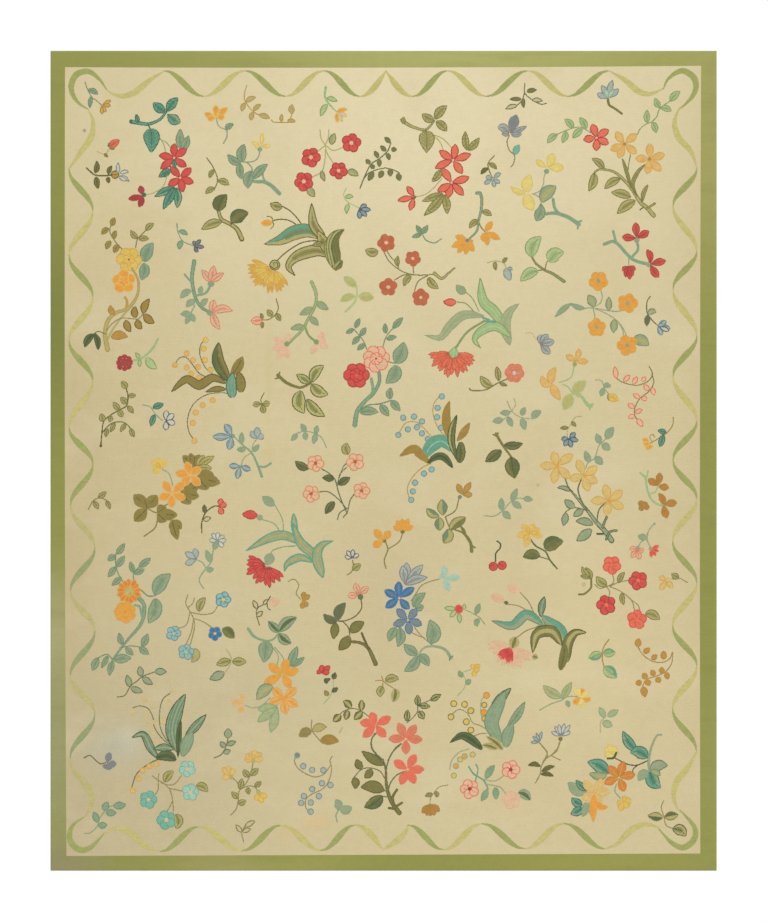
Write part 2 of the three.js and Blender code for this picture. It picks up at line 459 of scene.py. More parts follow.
spray("oliveTwoLeafTwig")
stems("olive", (1.2, 206.6, 157.6, 213, 167, 217.4, 179.3, 214, 189.4))
leaves("lightOlive", (5.2, 214, 169, 209, 172, 209, 178), (7, 217.4, 180.4, 224, 178, 229.4, 184.6),
    (6.2, 214.6, 187.4, 208.4, 187.6, 205, 193.6))

spray("darkThreeLeafBranch")
stems("darkOlive", (3.4, 218.3, 210.8, 221.6, 219, 230.7, 224, 237, 229, 241.6, 238.6), endWidth=5)
stems("lightOlive", (1.8, 218.3, 210.8, 221.6, 219, 230.7, 224, 237, 229, 241.6, 238), endWidth=3)
stems("darkOlive", (1.6, 230.7, 224, 232, 220))
leaves("greenOlive", (14, 217.6, 211, 214, 201, 226.8, 194), fat=0.42, blunt=0.8)
leaves("greenHeart", (14, 231, 221.6, 236, 211.6, 248.4, 212), fat=0.42, blunt=0.8)
leaves("lightOlive", (9.6, 222, 221.4, 211, 219.4, 200.8, 229.2), fat=0.45)

spray("tealTwigMauveFlower")
stems("seaTeal", (1.2, 176.8, 223.3, 177.6, 230.7, 182.6, 240.7, 193.4, 245.4))
leaves("seaTeal", (5.2, 178.5, 230.4, 183, 230, 188, 234.6), (6, 182, 240, 177.6, 243.6, 179.3, 249.4))
petals("mauve", 4.4, 193.4, 245.6, 201.2, 239.4, 204.6, 246.6, 198, 252, 194.6, 240.2, fat=0.6)

spray("goldRoseSpray")
stems("olive", (1, 124, 251, 115, 241, 109.6, 231, 112, 222), (1.1, 135.4, 247, 137.6, 238.4, 146.1, 229.4))
leaves("oliveOchre", (6, 112, 225.7, 111, 221, 114.8, 217), (6, 109, 228, 103.6, 228, 101.2, 234.4),
    (5.4, 113.8, 238.6, 112.6, 234, 116, 229.8), (6, 110.8, 240.4, 106, 243, 106.2, 249.2),
    (6.4, 119, 244.4, 114, 246.6, 114, 252.8))
leaves("lightOlive", (6.4, 145.6, 230.2, 147.6, 224.6, 153.8, 222.8), (6, 137.8, 238.4, 131.6, 236, 130.4,
    229.4), (6, 138.4, 239, 143, 236, 149, 238.4))
stems("lightOlive", (2, 132, 268, 138, 280, 138, 292, 133, 304, 122, 316, 112, 330, 107, 340))
leaves("seaRibbed", (13, 143.6, 261.6, 143, 251, 153, 242), fat=0.42)
leaves("seaRibbed", (11, 143.4, 262.4, 149, 270, 141, 279.8), fat=0.45)
rose("goldRose", (128.7, 259.2), 12.4, 6, 0)
rose("orangeRose", (123.7, 281.3), 12, 5, 20)

spray("paleTwigOrangeBell")
stems("freshGreen", (2.6, 325.6, 87, 324.8, 96, 329, 103.6, 336.4, 111.4), endWidth=1.2)
leaves("fresh", (5.4, 326.4, 97.6, 331, 96.6, 337.4, 101), (6.2, 327.4, 103.4, 322, 106, 320.4, 116.4))
leaves("orangeSoft", (5, 336.4, 112, 341, 108, 347.6, 108.6), (4.6, 336.6, 112.4, 335.6, 117, 337.6, 123))
leaves({"edge": "peach", "fill": "white"}, (5, 338, 113, 343, 113, 347, 116),
    (4.4, 338, 114, 340, 118, 342.6, 121.6))

spray("redRoundFlowers")
stems("lightOlive", (1.1, 319.8, 129.6, 321, 138, 325, 144.6), (1.1, 328.6, 129.6, 328, 137.6, 325, 144.6),
    (1.1, 325, 144.6, 333, 150, 343, 147), (1.1, 325, 145, 318, 150.6, 314, 153),
    (1.1, 325, 144.6, 327, 153, 334, 164), (1.1, 325, 150, 324.6, 160, 321.6, 171, 311.5, 177),
    (1.1, 321.6, 171, 323, 175))
leaves("sageHalf", (7.4, 331, 144.6, 331, 138, 334.8, 132.6), (7.4, 346.6, 171, 352, 169, 358.6, 175.4),
    (5.4, 321.4, 170, 321.6, 176, 324.6, 181.2), (8, 308.6, 186, 308.4, 192, 314.8, 196.4))
rounds("redVeined", "palePink", (351.3, 142.5, 9.6), (310.7, 156.9, 9.6), (338.4, 170.2, 8.8),
    (303.7, 181, 9.6))

spray("fernTwigs", 0, 0)
stems("greyGreen", (1.3, 360.1, 188.1, 363.7, 178.9, 370.5, 165, 379.4, 158.6, 387.3, 151.4, 390.9, 142.9),
    (1.1, 363.7, 178.9, 368.7, 173.1, 377.3, 169.6, 385.9, 168.1, 394.4, 170.3, 399.4, 173.1))
leaves("fern", (5, 390.4, 142.9, 384.4, 137.1), (5, 390.9, 149.3, 397, 149.3),
    (5, 386.1, 151.4, 380.1, 145.7), (5, 387.3, 152.9, 389.4, 160.3), (5, 378.7, 157.9, 374.4, 150.7),
    (5, 379.4, 159, 379.4, 167.1), (5, 370.1, 164.3, 365.6, 159.3), (5, 370.9, 165, 374.4, 168.9),
    (6, 373.7, 171.7, 368, 180.9), (6, 383, 170.3, 378.7, 178.1), (6, 390.4, 168.6, 390.1, 176.7),
    (6, 398, 173.1, 400.1, 181), blunt=0.7)

spray("coralStarSpray")
stems("olive", (3.8, 402, 119.6, 407, 123.6, 414, 127, 424.3, 129.6, 429.6, 126, 434, 120.4), endWidth=2)
stems("lightOlive", (2.2, 402.4, 119.8, 407, 123.6, 414, 127, 424.3, 129.6, 429.6, 126, 434, 120.4),
    endWidth=0.7)
leaves("lightOlive", (5, 405, 123.6, 400.4, 121.6, 403.6, 116))
stems("olive", (1.2, 425.4, 129.6, 426, 132))
stems("lightOlive", (1, 432.6, 134.5, 440, 142, 444.6, 154), (1, 433.6, 134.5, 443, 138.6, 452, 148))
leaves("oliveRibbed", (9, 434.2, 120, 428, 121, 421.6, 113.4), (9.4, 434.8, 119, 436.6, 110, 447, 105),
    (9, 435.6, 121, 441, 121.4, 447, 131))
leaves("oliveRibbed", (16, 426, 130.4, 428, 140, 426.2, 152.6), fat=0.34, blunt=0.8)
leaves("oliveRibbed", (7.6, 467, 150, 463.4, 140, 465, 130.6), (7.6, 467.6, 150, 474, 147, 479.4, 137.2))
petals("coralStar", 8.2, 453, 159.7, 455, 143.4, 439, 150, 434.6, 168, 471, 153.4, 462.4, 173.4, fat=0.55)
dot("palePink", 1.3, (453, 159.7))
petals("coralStar", 8.2, 451.3, 182.3, 441.4, 167.4, 469.4, 176.6, 463.6, 195.4, 447.2, 198, 437, 191.2,
    fat=0.55)
dot("palePink", 1.3, (451.3, 182.3))
leaves("oliveRibbed", (7.4, 441.4, 169, 438, 178, 431.4, 181.6))
stems("lightOlive", (1, 441.7, 178, 434, 187, 425, 194, 414.3, 196.7))
petals("coralStar", 6.6, 413.8, 196.7, 406.6, 185.6, 397.2, 200.4, 409.4, 210.4, fat=0.55)
dot("olive", 1.6, (414.6, 196.7))
leaves("oliveRibbed", (7.6, 443.4, 193.4, 433, 196, 421.6, 201), (8.4, 443.8, 194, 449, 202, 447, 214),
    (9, 443.4, 194, 438, 205, 423.6, 215.4))

spray("blueFlowerPaleStem", blue="skyBlue")
stems("paleGreen", (1.1, 346.3, 187.6, 343.6, 194.2, 347, 201, 358.8, 207.5))
leaves("fresh", (5, 344.7, 197.4, 349, 194, 353.6, 196.4), (5, 348.6, 203, 344.6, 208, 346.4, 213.6))
petals("blue", 5.4, 358.6, 208.6, 366.6, 204, 370.8, 209.6, 367, 216, 360, 218.6, fat=0.6)

spray("tealTrefoil")
stems("tealLine", (1.1, 441, 238.6, 434.2, 242.4, 426, 239.8, 421.8, 233.2))
leaves("greyTeal", (5.4, 421.8, 233.4, 416, 224.4), (6, 421.8, 233.4, 427.8, 224.6),
    (5, 421.8, 233.4, 411.6, 237))

spray("brickRoundFlowers")
stems("olive", (1.1, 383, 250, 389.5, 261.4, 402.7, 271.3, 417.6, 274.7, 434.2, 273.8),
    (1.1, 386.4, 250, 391, 257, 398, 264), (1.1, 412.7, 265.5, 413.5, 272.4),
    (1.1, 394.4, 279.6, 404, 274.6, 417, 274.4), (1.1, 414.3, 290.4, 418, 281, 427.6, 275),
    (1.1, 398, 267.6, 398, 265))
stems("olive", (3.6, 434.2, 273, 441.6, 278, 448, 273, 454.4, 267.6), endWidth=1.6)
stems("lightOlive", (2, 434.2, 273, 441.6, 278, 448, 273, 453.6, 268), endWidth=0.6)
leaves("lightOlive", (9.4, 378.4, 251, 372, 256, 364.8, 249.4), (5.4, 397.8, 266, 394.6, 261, 397.8, 255),
    (7, 411, 275, 404, 278, 403.4, 286), (8.4, 428, 276.6, 427, 284, 438.6, 288.4))
rounds("brick", "palePink", (386.1, 242.3, 8.8), (412.7, 258.1, 7.8), (388.1, 286.8, 8.8),
    (420.6, 297, 8.4))

spray("darkStemOrangeFlowers")
stems("tealLine", (3.4, 476.6, 192.6, 480, 193, 481.6, 200, 480.7, 210.8, 478.2, 220.8, 476.5, 230.7, 468,
    239.4), endWidth=1.8)
stems("greyTeal", (1.6, 477, 193, 480, 193.4, 481.6, 200, 480.7, 210.8, 478.2, 220.8, 476.5, 230.7, 468,
    239.4), endWidth=0.7)
stems("olive", (1.2, 479, 222.4, 481, 227, 485, 231.6))
leaves("lightOlive", (6.4, 481.5, 211, 487, 210, 491.8, 215.2), (6.4, 478.4, 219.6, 471, 220.4, 469, 228))
petals("orange", 6.8, 467.4, 240, 454.8, 235.4, 451.2, 246.8, 457.2, 252.6, 465, 254.4, 473.6, 251.4,
    472.4, 243.6, fat=0.55)
petals("orange", 6.8, 484.8, 231.6, 492.4, 221.2, 500.2, 239.2, 487.4, 245.2, 483, 241.4, fat=0.55)
dot("greyBlue", 1.8, (467, 240))

spray("oliveLeavesPaleFlower")
stems("olive", (1.1, 494.2, 155.2, 488, 162.7, 489, 170, 492, 177))
leaves("lightOlive", (5.2, 488, 163.2, 493, 162, 496.8, 168.8))
leaves("olive", (5, 488.2, 167.7, 483, 168, 480.4, 174))
petals("paleBlue", 5, 492.3, 178.5, 500.8, 172.4, 483.8, 183.6, 494.4, 187.2, 500, 182.8, 485.4, 175.6,
    fat=0.6)

spray("oliveLeavesPaleBell")
stems("lightOlive", (1, 487.3, 262.2, 495.6, 260.6, 503.9, 263, 506, 269))
leaves("lightOlive", (4.6, 495.2, 261, 493, 266, 496, 270), (4.2, 503.4, 263, 502, 259, 507.4, 257))
leaves("paleBlue", (8.4, 505.4, 267.6, 507, 274, 510, 280.2), blunt=0.6)
leaves("paleBlue", (4, 507, 268, 510, 267, 512.8, 269.4))

spray("greyOutlineTwig")
stems("greyGreen", (1.1, 524.6, 83, 524.4, 92, 530, 98, 540, 103.6, 546, 103),
    (1.1, 524.6, 92, 521, 101, 512.2, 108))
leaves("fern", (5.2, 526.3, 91.6, 531, 88.4, 536.8, 89.6), (4.6, 521.6, 99, 515, 97.4, 509.2, 99),
    (4.6, 523.4, 97.6, 521.6, 102, 523.6, 107.8))
leaves("greyOpen", (5.2, 517.4, 105, 511, 104.6, 505, 108.8), (5, 531.6, 100, 536, 98, 543, 100.6))

spray("greyBlueLily", 0, 0)
stems("oliveStem", (1.2, 509.4, 135.3, 507, 141.7, 509.4, 150.3, 514.4, 155.3, 513.7, 163.1, 510.9, 166.7))
leaves("turquoiseRound", (7, 514.1, 154.6, 519.4, 144.6))
leaves("lilyGrey", (10.7, 510.1, 133.9, 516.6, 114.6), fat=0.6)
leaves("lilyPale", (9, 509.4, 133.9, 504.4, 121.7, 497.3, 127.4), fat=0.55)
leaves("lilyPale", (6, 509.4, 133.9, 501.6, 133.9), (6, 510.9, 134.6, 527, 126),
    (6, 510.9, 134.6, 522.3, 133.9))

spray("goldCarnation", bottle="olive")
stems("darkOlive", (1.2, 282, 205.8, 290, 210.6, 298, 219, 305.6, 231), (1.2, 273.8, 219.9, 282, 218.8,
    291, 221, 300, 227.6, 305, 234), (1.2, 275.6, 261.6, 285.4, 252.3, 300, 243, 312, 240.4, 320, 240.8))
leaves("lightOliveDark", (9, 282.4, 206.4, 277, 209, 269.8, 203))
leaves("orangeSoft", (7.4, 272.6, 221.6, 266, 224, 260.2, 222.2), blunt=0.7)
stems("darkOlive", (1, 272.6, 221, 271.4, 217, 267.2, 216), (1, 272.6, 221, 273.4, 225, 270.4, 228.4))
leaves("tealTan", (15, 322, 238, 308, 230.6, 294, 232.4, 280, 239.6, 263.4, 244), fat=0.42)
leaves("lightOliveDark", (12.6, 328.6, 256, 319, 250.6, 308, 251.6, 295, 257, 288.4, 266.4, 295.4, 276),
    fat=0.36)
leaves("lightOliveDark", (10, 327.4, 252, 321, 236, 313, 223, 311.4, 202), (11, 329.4, 256, 324.6, 242,
    317, 229.6), fat=0.5)
leaves("lightOliveDark", (5.6, 322.6, 241.6, 317, 246, 311.6, 244.4))
leaves("darkStriped", (16, 336.6, 270.4, 333.4, 257, 331.6, 245, 335.6, 235, 344.4, 228.8), fat=0.42)
leaves("darkStriped", (8, 334.6, 269, 338.6, 264, 342.6, 259.8))
fan("goldCarnation", (272.6, 267.4), 25, 236, 150, 15, 4.2)
dot("darkOlive", 5.4, (274.6, 264.6))
dot("straw", 4.4, (274.6, 264.6))
stems("darkOlive", (1, 271, 266, 273.6, 268, 277.4, 266.4, 277, 262.6, 273.6, 262.4, 273.4, 265))

spray("blueTulip")
stems("olive", (2.6, 607.4, 97.5, 609, 104.5, 613.5, 107.4, 621.6, 113.2), endWidth=2.2)
petals("paleBlue", 6.4, 607.6, 98, 612.4, 79.4, 601.4, 84.6, 618.8, 88.4, 596.6, 93)
petals("tulipHeart", 5.4, 607.8, 98.4, 605, 88.6, 613.4, 89)

spray("redStarGreenTwig")
stems("leafGreen", (1, 590.4, 132.4, 586, 129.4, 579.6, 126.8, 573, 127.6, 564.7, 130.6, 557, 133.8))
leaves("paleLeaf", (7.4, 585.8, 129, 585, 121, 579.3, 116.8), (7.2, 573, 128, 571, 121, 564.3, 118.6),
    (7.4, 582.4, 128.4, 576, 131, 572.3, 138), (6.8, 566.4, 130.6, 566, 137, 562, 142.8),
    (7.2, 557.2, 133.8, 550, 135, 547, 142.8))
petals("coralStar", 8.2, 596.2, 137.5, 592, 123.4, 608.8, 129.2, 608.8, 143.4, 595.9, 150.6, 583, 139.6,
    eye="palePink")

spray("yellowStarsOliveBranch")
stems("leafGreen", (1, 637.4, 134, 640, 128.4, 646, 123.6, 651.4, 121.4, 656.7, 116, 658.4, 110.4, 662.5,
    105.6, 670, 100.6))
leaves("paleLeaf", (6.6, 647.4, 122.6, 644.6, 116, 647.4, 109.4), (6.8, 652, 121.4, 656.6, 126, 655.8,
    132.8), (6.6, 660, 107.6, 655.4, 104, 654.8, 97.4), (6.8, 660.6, 107.8, 664.6, 104.4, 671.6, 110.8),
    (7.6, 669.8, 101, 673, 93.6, 680.2, 90.6))
branch("olive", "lightOlive", 2, 594.5, 171.8, 600, 169, 612.8, 171, 622.7, 178.5, 632.7, 190, 640, 201.7,
    646.4, 207, 653.4, 215, endWidth=4.6)
branch("olive", "lightOlive", 2.4, 646, 208.4, 650.6, 205.6, 654.4, 203.2)
stems("olive", (1.4, 640, 209.2, 643.4, 206.6), (1, 630.2, 154.4, 628.4, 165, 628, 174, 631.6, 188))
leaves("lightOlive", (4.4, 637, 197, 632.6, 184, 637.4, 172, 645.6, 163.2),
    (4.8, 641.4, 202.6, 641, 191, 647.8, 184), (4, 631, 188, 628, 174, 622, 157.6), fat=0.5, blunt=0.6)
leaves("lightOlive", (7.4, 604, 168.6, 600.6, 160, 591.6, 157.6), (9, 594.4, 172, 596.6, 182, 588.6, 191),
    (8.4, 620.6, 178, 611, 178, 604, 188.6), (9, 631, 197, 622, 190, 610.6, 192),
    (10, 635.6, 200, 624, 202.6, 616.8, 213.6))
petals("apricot", 8.2, 624.4, 143.7, 615.6, 131, 637, 133.4, 636.6, 153.4, 618.4, 158, 610, 150)
dot("bronze", 1.5, (624.4, 143.7))
petals("apricot", 8.2, 649.3, 158.6, 649.3, 142.6, 664.8, 153.6, 661, 171, 647, 173.8, 635, 158)
dot("bronze", 1.5, (649.3, 158.6))

spray("yellowFlowersGreyBranch")
stems("greyTeal", (1, 546, 172, 544, 176, 543.4, 182.6, 540, 190, 534, 193.4),
    (1.2, 532.4, 193.4, 538, 196, 541, 199.4))
petals("paleYellow", 6, 546.6, 167.6, 535.6, 159.2)
petals("paleYellow", 9, 547.6, 167.4, 553, 152.6, 564, 167)
dot("seaTeal", 2.6, (546.4, 171))
leaves("paleYellow", (6, 525.6, 192.6, 515, 196, 510.2, 185.8), (11.6, 527, 192, 524, 182, 530, 174),
    (12.4, 527, 193.4, 524, 202, 533.4, 210))
stems("seaTeal", (3, 544.4, 213.6, 554.7, 212.8, 566.3, 216, 574.6, 221, 578.6, 224), endWidth=4.2)
stems("seaTeal", (3, 553, 199, 554.4, 207.4, 559, 213.6), (2, 577, 222, 581, 220.6),
    (2, 578, 222, 577.4, 228))
leaves("greyTan", (13.4, 541, 202.6, 541, 190, 556.2, 185.6), fat=0.5)
leaves("greyTealRibbed", (11, 540.6, 202, 546, 210, 535.8, 220.6), fat=0.6)

spray("greenThreeLeafBranch")
branch("olive", "leafGreen", 2, 531.4, 256, 535.7, 263, 544, 269.4, 553, 273.6, 563.8, 281, endWidth=3.4)
stems("olive", (1.1, 544.8, 269.4, 546.4, 262.4, 549.6, 258.6), (1.1, 536, 270.4, 544, 269.4))
leaves("paleLeaf", (14, 531.4, 256.8, 522.6, 244, 541, 235.6), (14.4, 548.6, 261.6, 551, 247, 564, 252),
    (11.2, 538, 270.6, 529, 266, 520, 281), fat=0.42)

spray("redFlowersTealBranch")
stems("seaTeal", (2.6, 636.8, 241, 637.8, 249, 632.6, 255.8), (3.2, 604, 243.8, 612.8, 241, 618.6, 244.6,
    628.5, 255.6, 636, 260.6, 648.4, 264), (2.6, 613, 231, 615.6, 241), (1, 628.5, 257, 628.4, 265))
dot("greyTeal", 2.8, (636.6, 239.6), (648.6, 264))
petals("redVeined", 8, 636.4, 237.6, 621.6, 236.4, 635.2, 221.8, 649, 230.4)
leaves("redVeined", (7, 650, 264, 654, 254, 646.6, 248.8), (8, 650, 264, 665.8, 260.4),
    (8.2, 650, 264, 653, 272, 658.6, 277.4), fat=0.58)
petals("redVeined", 6, 628.4, 265.4, 621.8, 270.6, 625, 277, 629.4, 279.4, 633, 275.6, 635.4, 270)

spray("goldRoseStem")
branch("ochre", "lightOlive", 2, 132, 268, 138, 280, 137, 295, 127.9, 307.4, 114.6, 313.2, 107.2, 321.5,
    105, 334.7, 107.4, 349, endWidth=5)
branch("ochre", "lightOlive", 2.4, 125, 297, 127, 301.6, 125.8, 307.6)
leaves("bronze", (6.6, 114.4, 314.4, 107.6, 311, 110.4, 304.6))
stems("olive", (0.9, 106.6, 329.6, 113, 322.3, 121.3, 317.8, 133, 318.4, 138, 318.6, 143.4, 313),
    (1, 105.4, 333.6, 98, 331, 93, 334))
leaves("bronzeDark", (7.4, 135.8, 317.6, 131, 312, 135.4, 305.6), (7.6, 137.6, 319, 134.6, 325, 141.8,
    328.8), (8, 143.2, 313.4, 140, 306, 149.4, 298.2), (8.4, 144, 313.2, 145, 320, 154.4, 323),
    (7.8, 125.4, 319.4, 125, 327, 130.8, 331.8))
leaves("bronze", (9.4, 110.6, 337, 119, 330, 127.8, 336.6))
leaves("bottle", (7.6, 93.6, 333.4, 84, 337, 84.4, 347.4), (6.6, 94.4, 332.6, 100.6, 340, 98, 350))

spray("tealStemPinkLilies")
branch("tealLine", "seaTeal", 4.2, 194, 261, 191.8, 279, 195.6, 298, 201.7, 307.2, 209.6, 312, endWidth=3)
stems("seaTeal", (1.8, 184.3, 273.8, 191.4, 282.4), (2.4, 197, 295, 205.6, 292.4, 210.6, 284.4),
    (1.2, 194.6, 305, 190.8, 312.6))
leaves("greyLeaf", (7.4, 191.4, 290, 184, 289, 180, 298), (5.6, 199.4, 293.6, 201.4, 285.4),
    (7, 195.4, 300.4, 188, 300, 185.8, 307), (6.4, 202, 306.6, 201.4, 300, 207.8, 298),
    (6.4, 190.6, 312.8, 180, 314), (6, 190.4, 313, 185.2, 324), (6, 190.6, 313, 194.6, 321.6))
dot("seaTeal", 3.2, (209.8, 312.2), (210.8, 283.4))
leaves("pinkLily", (7.4, 211, 281.6, 201.4, 269.2), (8.4, 211, 281.6, 213.8, 264.8),
    (7.4, 211, 281.6, 223.6, 272.4), (8, 212, 311.6, 211.4, 303, 214.4, 299),
    (8.6, 212, 312, 223, 301, 232.8, 310.6), (8.4, 212, 312.6, 212, 322, 219.6, 329.4))

spray("crimsonFlowerPaleStem", coral="crimson")
stems("freshGreen", (2.2, 132.9, 360.4, 143.6, 356.4, 152.8, 347.6, 157.7, 338.6))
leaves("fresh", (4.2, 140, 358, 135, 352), (4.2, 139.6, 358.6, 139.6, 367),
    (8.6, 146, 357, 149, 366, 156.8, 368.6))
dot("crimson", 4.2, (124.4, 362.2))
star("crimson", (124.4, 362.2), 9, 5.6, 8, fat=0.72, eye="coral", eyeSize=1.1)

spray("yellowBellsOliveLeaves", lightOlive="khaki", olive="khaki")
stems("darkOlive", (0.9, 215.8, 376, 205.8, 367.9, 200.2, 356.3, 200, 346.3, 204, 339),
    (0.9, 211, 378.6, 199.2, 373, 192.6, 364.6, 185.9, 357, 179.3, 357.6, 175, 363),
    (0.9, 230, 394, 221, 392.2, 205.8, 394.6, 193.4, 403.6, 187.6, 417.6, 188.6, 431, 194.2, 440))
berries("apricot", 3, 174.8, 364.6, 186.4, 353, 192.9, 359.6, 186.4, 367, 197.9, 366.6, 190.9, 373.2,
    198.9, 377.6, 212.5, 399.7, 202.5, 404.8, 195.6, 412.2, 192.6, 422.6, 194.2, 440.4)
berries("yellow", 3, 205.5, 339.7, 203.6, 348.3, 204.7, 359.6, 210.4, 369.4)
leaves("oliveDeep", (9.6, 226, 383, 212.5, 377.5, 199, 384.6, 186, 379, 171, 391.4), fat=0.45, blunt=0.6)
leaves("oliveDeep", (6, 226, 389, 216, 384.6, 205, 391.6), fat=0.4)
leaves("greenOlive", (13, 230.6, 383, 220, 366, 217.4, 356, 218.6, 341.6), fat=0.5, blunt=0.7)
leaves("oliveFull", (10.4, 229, 377, 239, 371, 242.6, 356), fat=0.55)
leaves("oliveDeep", (10, 240.4, 392.4, 244, 382, 238, 371.6), fat=0.45, blunt=0.5)
leaves("tealStriped", (11, 232.4, 397.4, 228, 385, 232.4, 373), fat=0.42, blunt=0.45)

spray("oliveLeafTwig")
stems("darkOlive", (1.2, 100.6, 446, 101.6, 434, 103.6, 421, 111, 414.3, 119.6, 409.4, 126.4, 405, 127.8,
    396, 126, 388), (1, 101.8, 433, 106.3, 427.2, 113, 422.4, 122.4, 421.6, 128.7, 425.9, 131, 431))
dot("darkOlive", 1.4, (100.6, 445.4))
leaves("lightOlive", (7, 126.4, 388.4, 123, 379, 120.4, 381.8), (5.2, 127.8, 395.4, 136, 395),
    (6.4, 127, 403.6, 120.4, 396.4), (5.6, 127, 405.6, 133.6, 413), (6.4, 119.4, 410.2, 112.8, 401.4),
    (6.2, 118.4, 409.6, 122.4, 417), (5.6, 111, 415, 109.4, 422), (6.8, 103.4, 421.6, 101, 413),
    (5, 107.4, 427.6, 105.4, 437), (5.2, 115, 422.6, 110.2, 432), (5.2, 125.6, 422.6, 120.2, 432),
    (5.6, 130.2, 427.6, 134, 437))

spray("tealLeavesOpenFlower")
stems("seaTeal", (1, 142.4, 404.4, 150.3, 406.6, 154.6, 413, 162, 420))
leaves("teal", (6.8, 152.4, 407.6, 163.8, 403.2), (6.2, 154.6, 413.8, 150.6, 426.4))
petals("mauveOpen", 6.4, 165.4, 420.4, 166.4, 409.6, 174, 413.4, 175.2, 423.6, 166.4, 430)

spray("oliveTrefoil")
stems("olive", (1.1, 263.9, 392.6, 260.8, 398.6, 261.6, 403.6))
petals("lightOlive", 6.4, 261.4, 403.4, 252.4, 404.6, 270, 403, 264.4, 413)

spray("blueFlowersBranch")
stems("seaTeal", (1, 233, 435.6, 242.3, 444.2, 251.4, 452.5, 257.2, 464, 261.6, 476), endWidth=2.8)
stems("seaTeal", (2, 258.6, 465.8, 264.4, 466.6, 270.6, 463), (0.9, 251.4, 452.4, 253, 444, 257, 438),
    (0.9, 251, 452.6, 244, 457.4, 240.6, 465.6))
leaves("greyLeaf", (5.8, 241.6, 443.6, 241.6, 431.4), (6.2, 246, 448.6, 236.4, 449.4),
    (5.6, 252.8, 451.4, 259.2, 444))
dot("seaTeal", 2, (233, 435.6))
petals("skyPetal", 8, 231.8, 435.8, 224.6, 423.4, 212.2, 436.4, 228.6, 449.6)
petals("paleBlue", 7.4, 257, 438.4, 250.4, 430.6, 263.8, 434.6, 256.6, 426.4)
petals("skyPetal", 6.6, 240, 465.6, 228.6, 465.4, 237, 478.8, 250.6, 470)

spray("orangeStarsOliveLeaves", paleYellow="yellow", olive="khaki")
stems("olive", (1.3, 146.1, 507.2, 156, 512.2, 161, 507.2, 169, 503), (1.4, 158, 513.8, 155, 527, 144,
    535.8), (1.1, 166, 517, 172, 521))
petals("oliveFull", 9.6, 193.6, 468, 182.6, 454.8, 190, 452.6, 199.6, 453.8, fat=0.52)
petals("oliveFull", 8, 193.4, 465, 188.8, 456, 195, 455, fat=0.52)
petals("oliveBright", 7.2, 197, 466.6, 204, 454.4, 214.4, 455.6, 212, 467.6, fat=0.52)
petals("oliveFull", 13, 196.6, 476.6, 213.6, 473.4, 220.4, 482.6, 208.4, 489, fat=0.52)
petals("oliveFull", 12.4, 180.6, 490.4, 190, 484.4, 198.8, 487, 199, 496.4, 190.6, 503.8, fat=0.52)
petals("oliveFull", 12.4, 147, 508, 133.2, 494.2, 156.8, 494.6, 143.6, 497.6, 134, 521, fat=0.52)
petals("oliveFull", 11.4, 157, 513, 166, 506, 177.4, 514.8, 166.6, 521, fat=0.52)
petals("oliveFull", 9.4, 171.6, 519.6, 181.4, 528.8, 175, 531, 177.4, 539.4, fat=0.52)
petals("orangeStar", 8.8, 190, 474.9, 185.6, 461.2, 200.8, 467, 200.4, 485, 182, 485, 174.8, 472,
    eye="yellow")
petals("orangeStar", 8.6, 171.8, 493.1, 163.2, 480.4, 184.6, 481.4, 158, 498.2, 171.8, 507.4, 185.6, 498.4,
    eye="yellow")
stems("greyTeal", (1.1, 162, 468.6, 169, 473.6, 172.6, 485))
petals("paleYellow", 6.6, 161, 468, 150.6, 460.4, 152, 471.8, 157.4, 457, 165.6, 459.6)
petals("yellow", 4.4, 161, 468, 156, 462)

spray("oliveThreeLeafSprig")
stems("olive", (1, 88, 509, 93, 500.6, 99.6, 497.4, 106.4, 499.8))
leaves("lightOlive", (5.8, 97.6, 497.6, 106.4, 491), (5.6, 93.6, 500.4, 98.4, 509),
    (5.2, 106, 500, 110, 509))

spray("redFlowerDarkTwig")
stems("darkOlive", (1.3, 201.7, 532.4, 201.6, 522, 205.6, 512, 213.6, 506, 219, 506))
leaves("olive", (5, 204.6, 513, 204, 503.8))
leaves("darkOpen", (5.4, 203, 520, 211, 516.8))
petals("coralStar", 6.6, 219, 506, 221.6, 498, 226.4, 503, 222.6, 514.2)

spray("rosebudTwig")
stems("olive", (1.1, 276, 298.4, 278, 308.2, 273.8, 315.7, 267.2, 319.4, 262, 319.6))
leaves("lightOlive", (6.4, 272.6, 316, 266.8, 309.2), (6, 276, 312.6, 280.4, 321),
    (4.4, 262.4, 319, 260.4, 312.6), (4.4, 262, 321, 262, 328.4))
leaves("pinkVeined", (9, 262, 319.4, 250.4, 320.6))

spray("palePinkFlowersGreenStem")
branch("leafGreen", "sageGrey", 3.6, 311.5, 281.6, 315.8, 293.3, 315, 304.9, 307.4, 319.8, 301.6, 329.8,
    287.5, 343.8, endWidth=2.6)
stems("leafGreen", (2.2, 304.9, 326, 308.2, 334.7, 316, 341.6))
leaves("freshTeal", (7.6, 316, 301, 328.4, 309.4), (7.6, 312.6, 307, 299.2, 314.4),
    (7, 309, 316.4, 318.4, 325.2), (6.6, 303.4, 325, 290, 328.6))
petals("palePink", 7, 285, 344.6, 289, 332.6, 273.4, 336.8, 271.8, 348, 277, 358.4, 287.4, 358)
petals("palePink", 6.8, 318.4, 342.6, 322.8, 331.6, 311, 353.6, 327.8, 347, 325.4, 338.4)
dot("leafGreen", 2.6, (286.8, 343.6), (316.2, 341.6))

spray("paleGreenTrefoil", 0, 0)
stems("paleGreen", (2.4, 345.7, 311.4, 353.6, 303.6, 357.1, 295, 356.4, 286.4), endWidth=1.4)
leaves("strawLeaf", (9, 357.1, 287.1, 343.6, 276.4), (8, 356.4, 296.4, 348, 293, 340, 301.4),
    (10, 357.9, 296.4, 374.3, 297.9), fat=0.5)

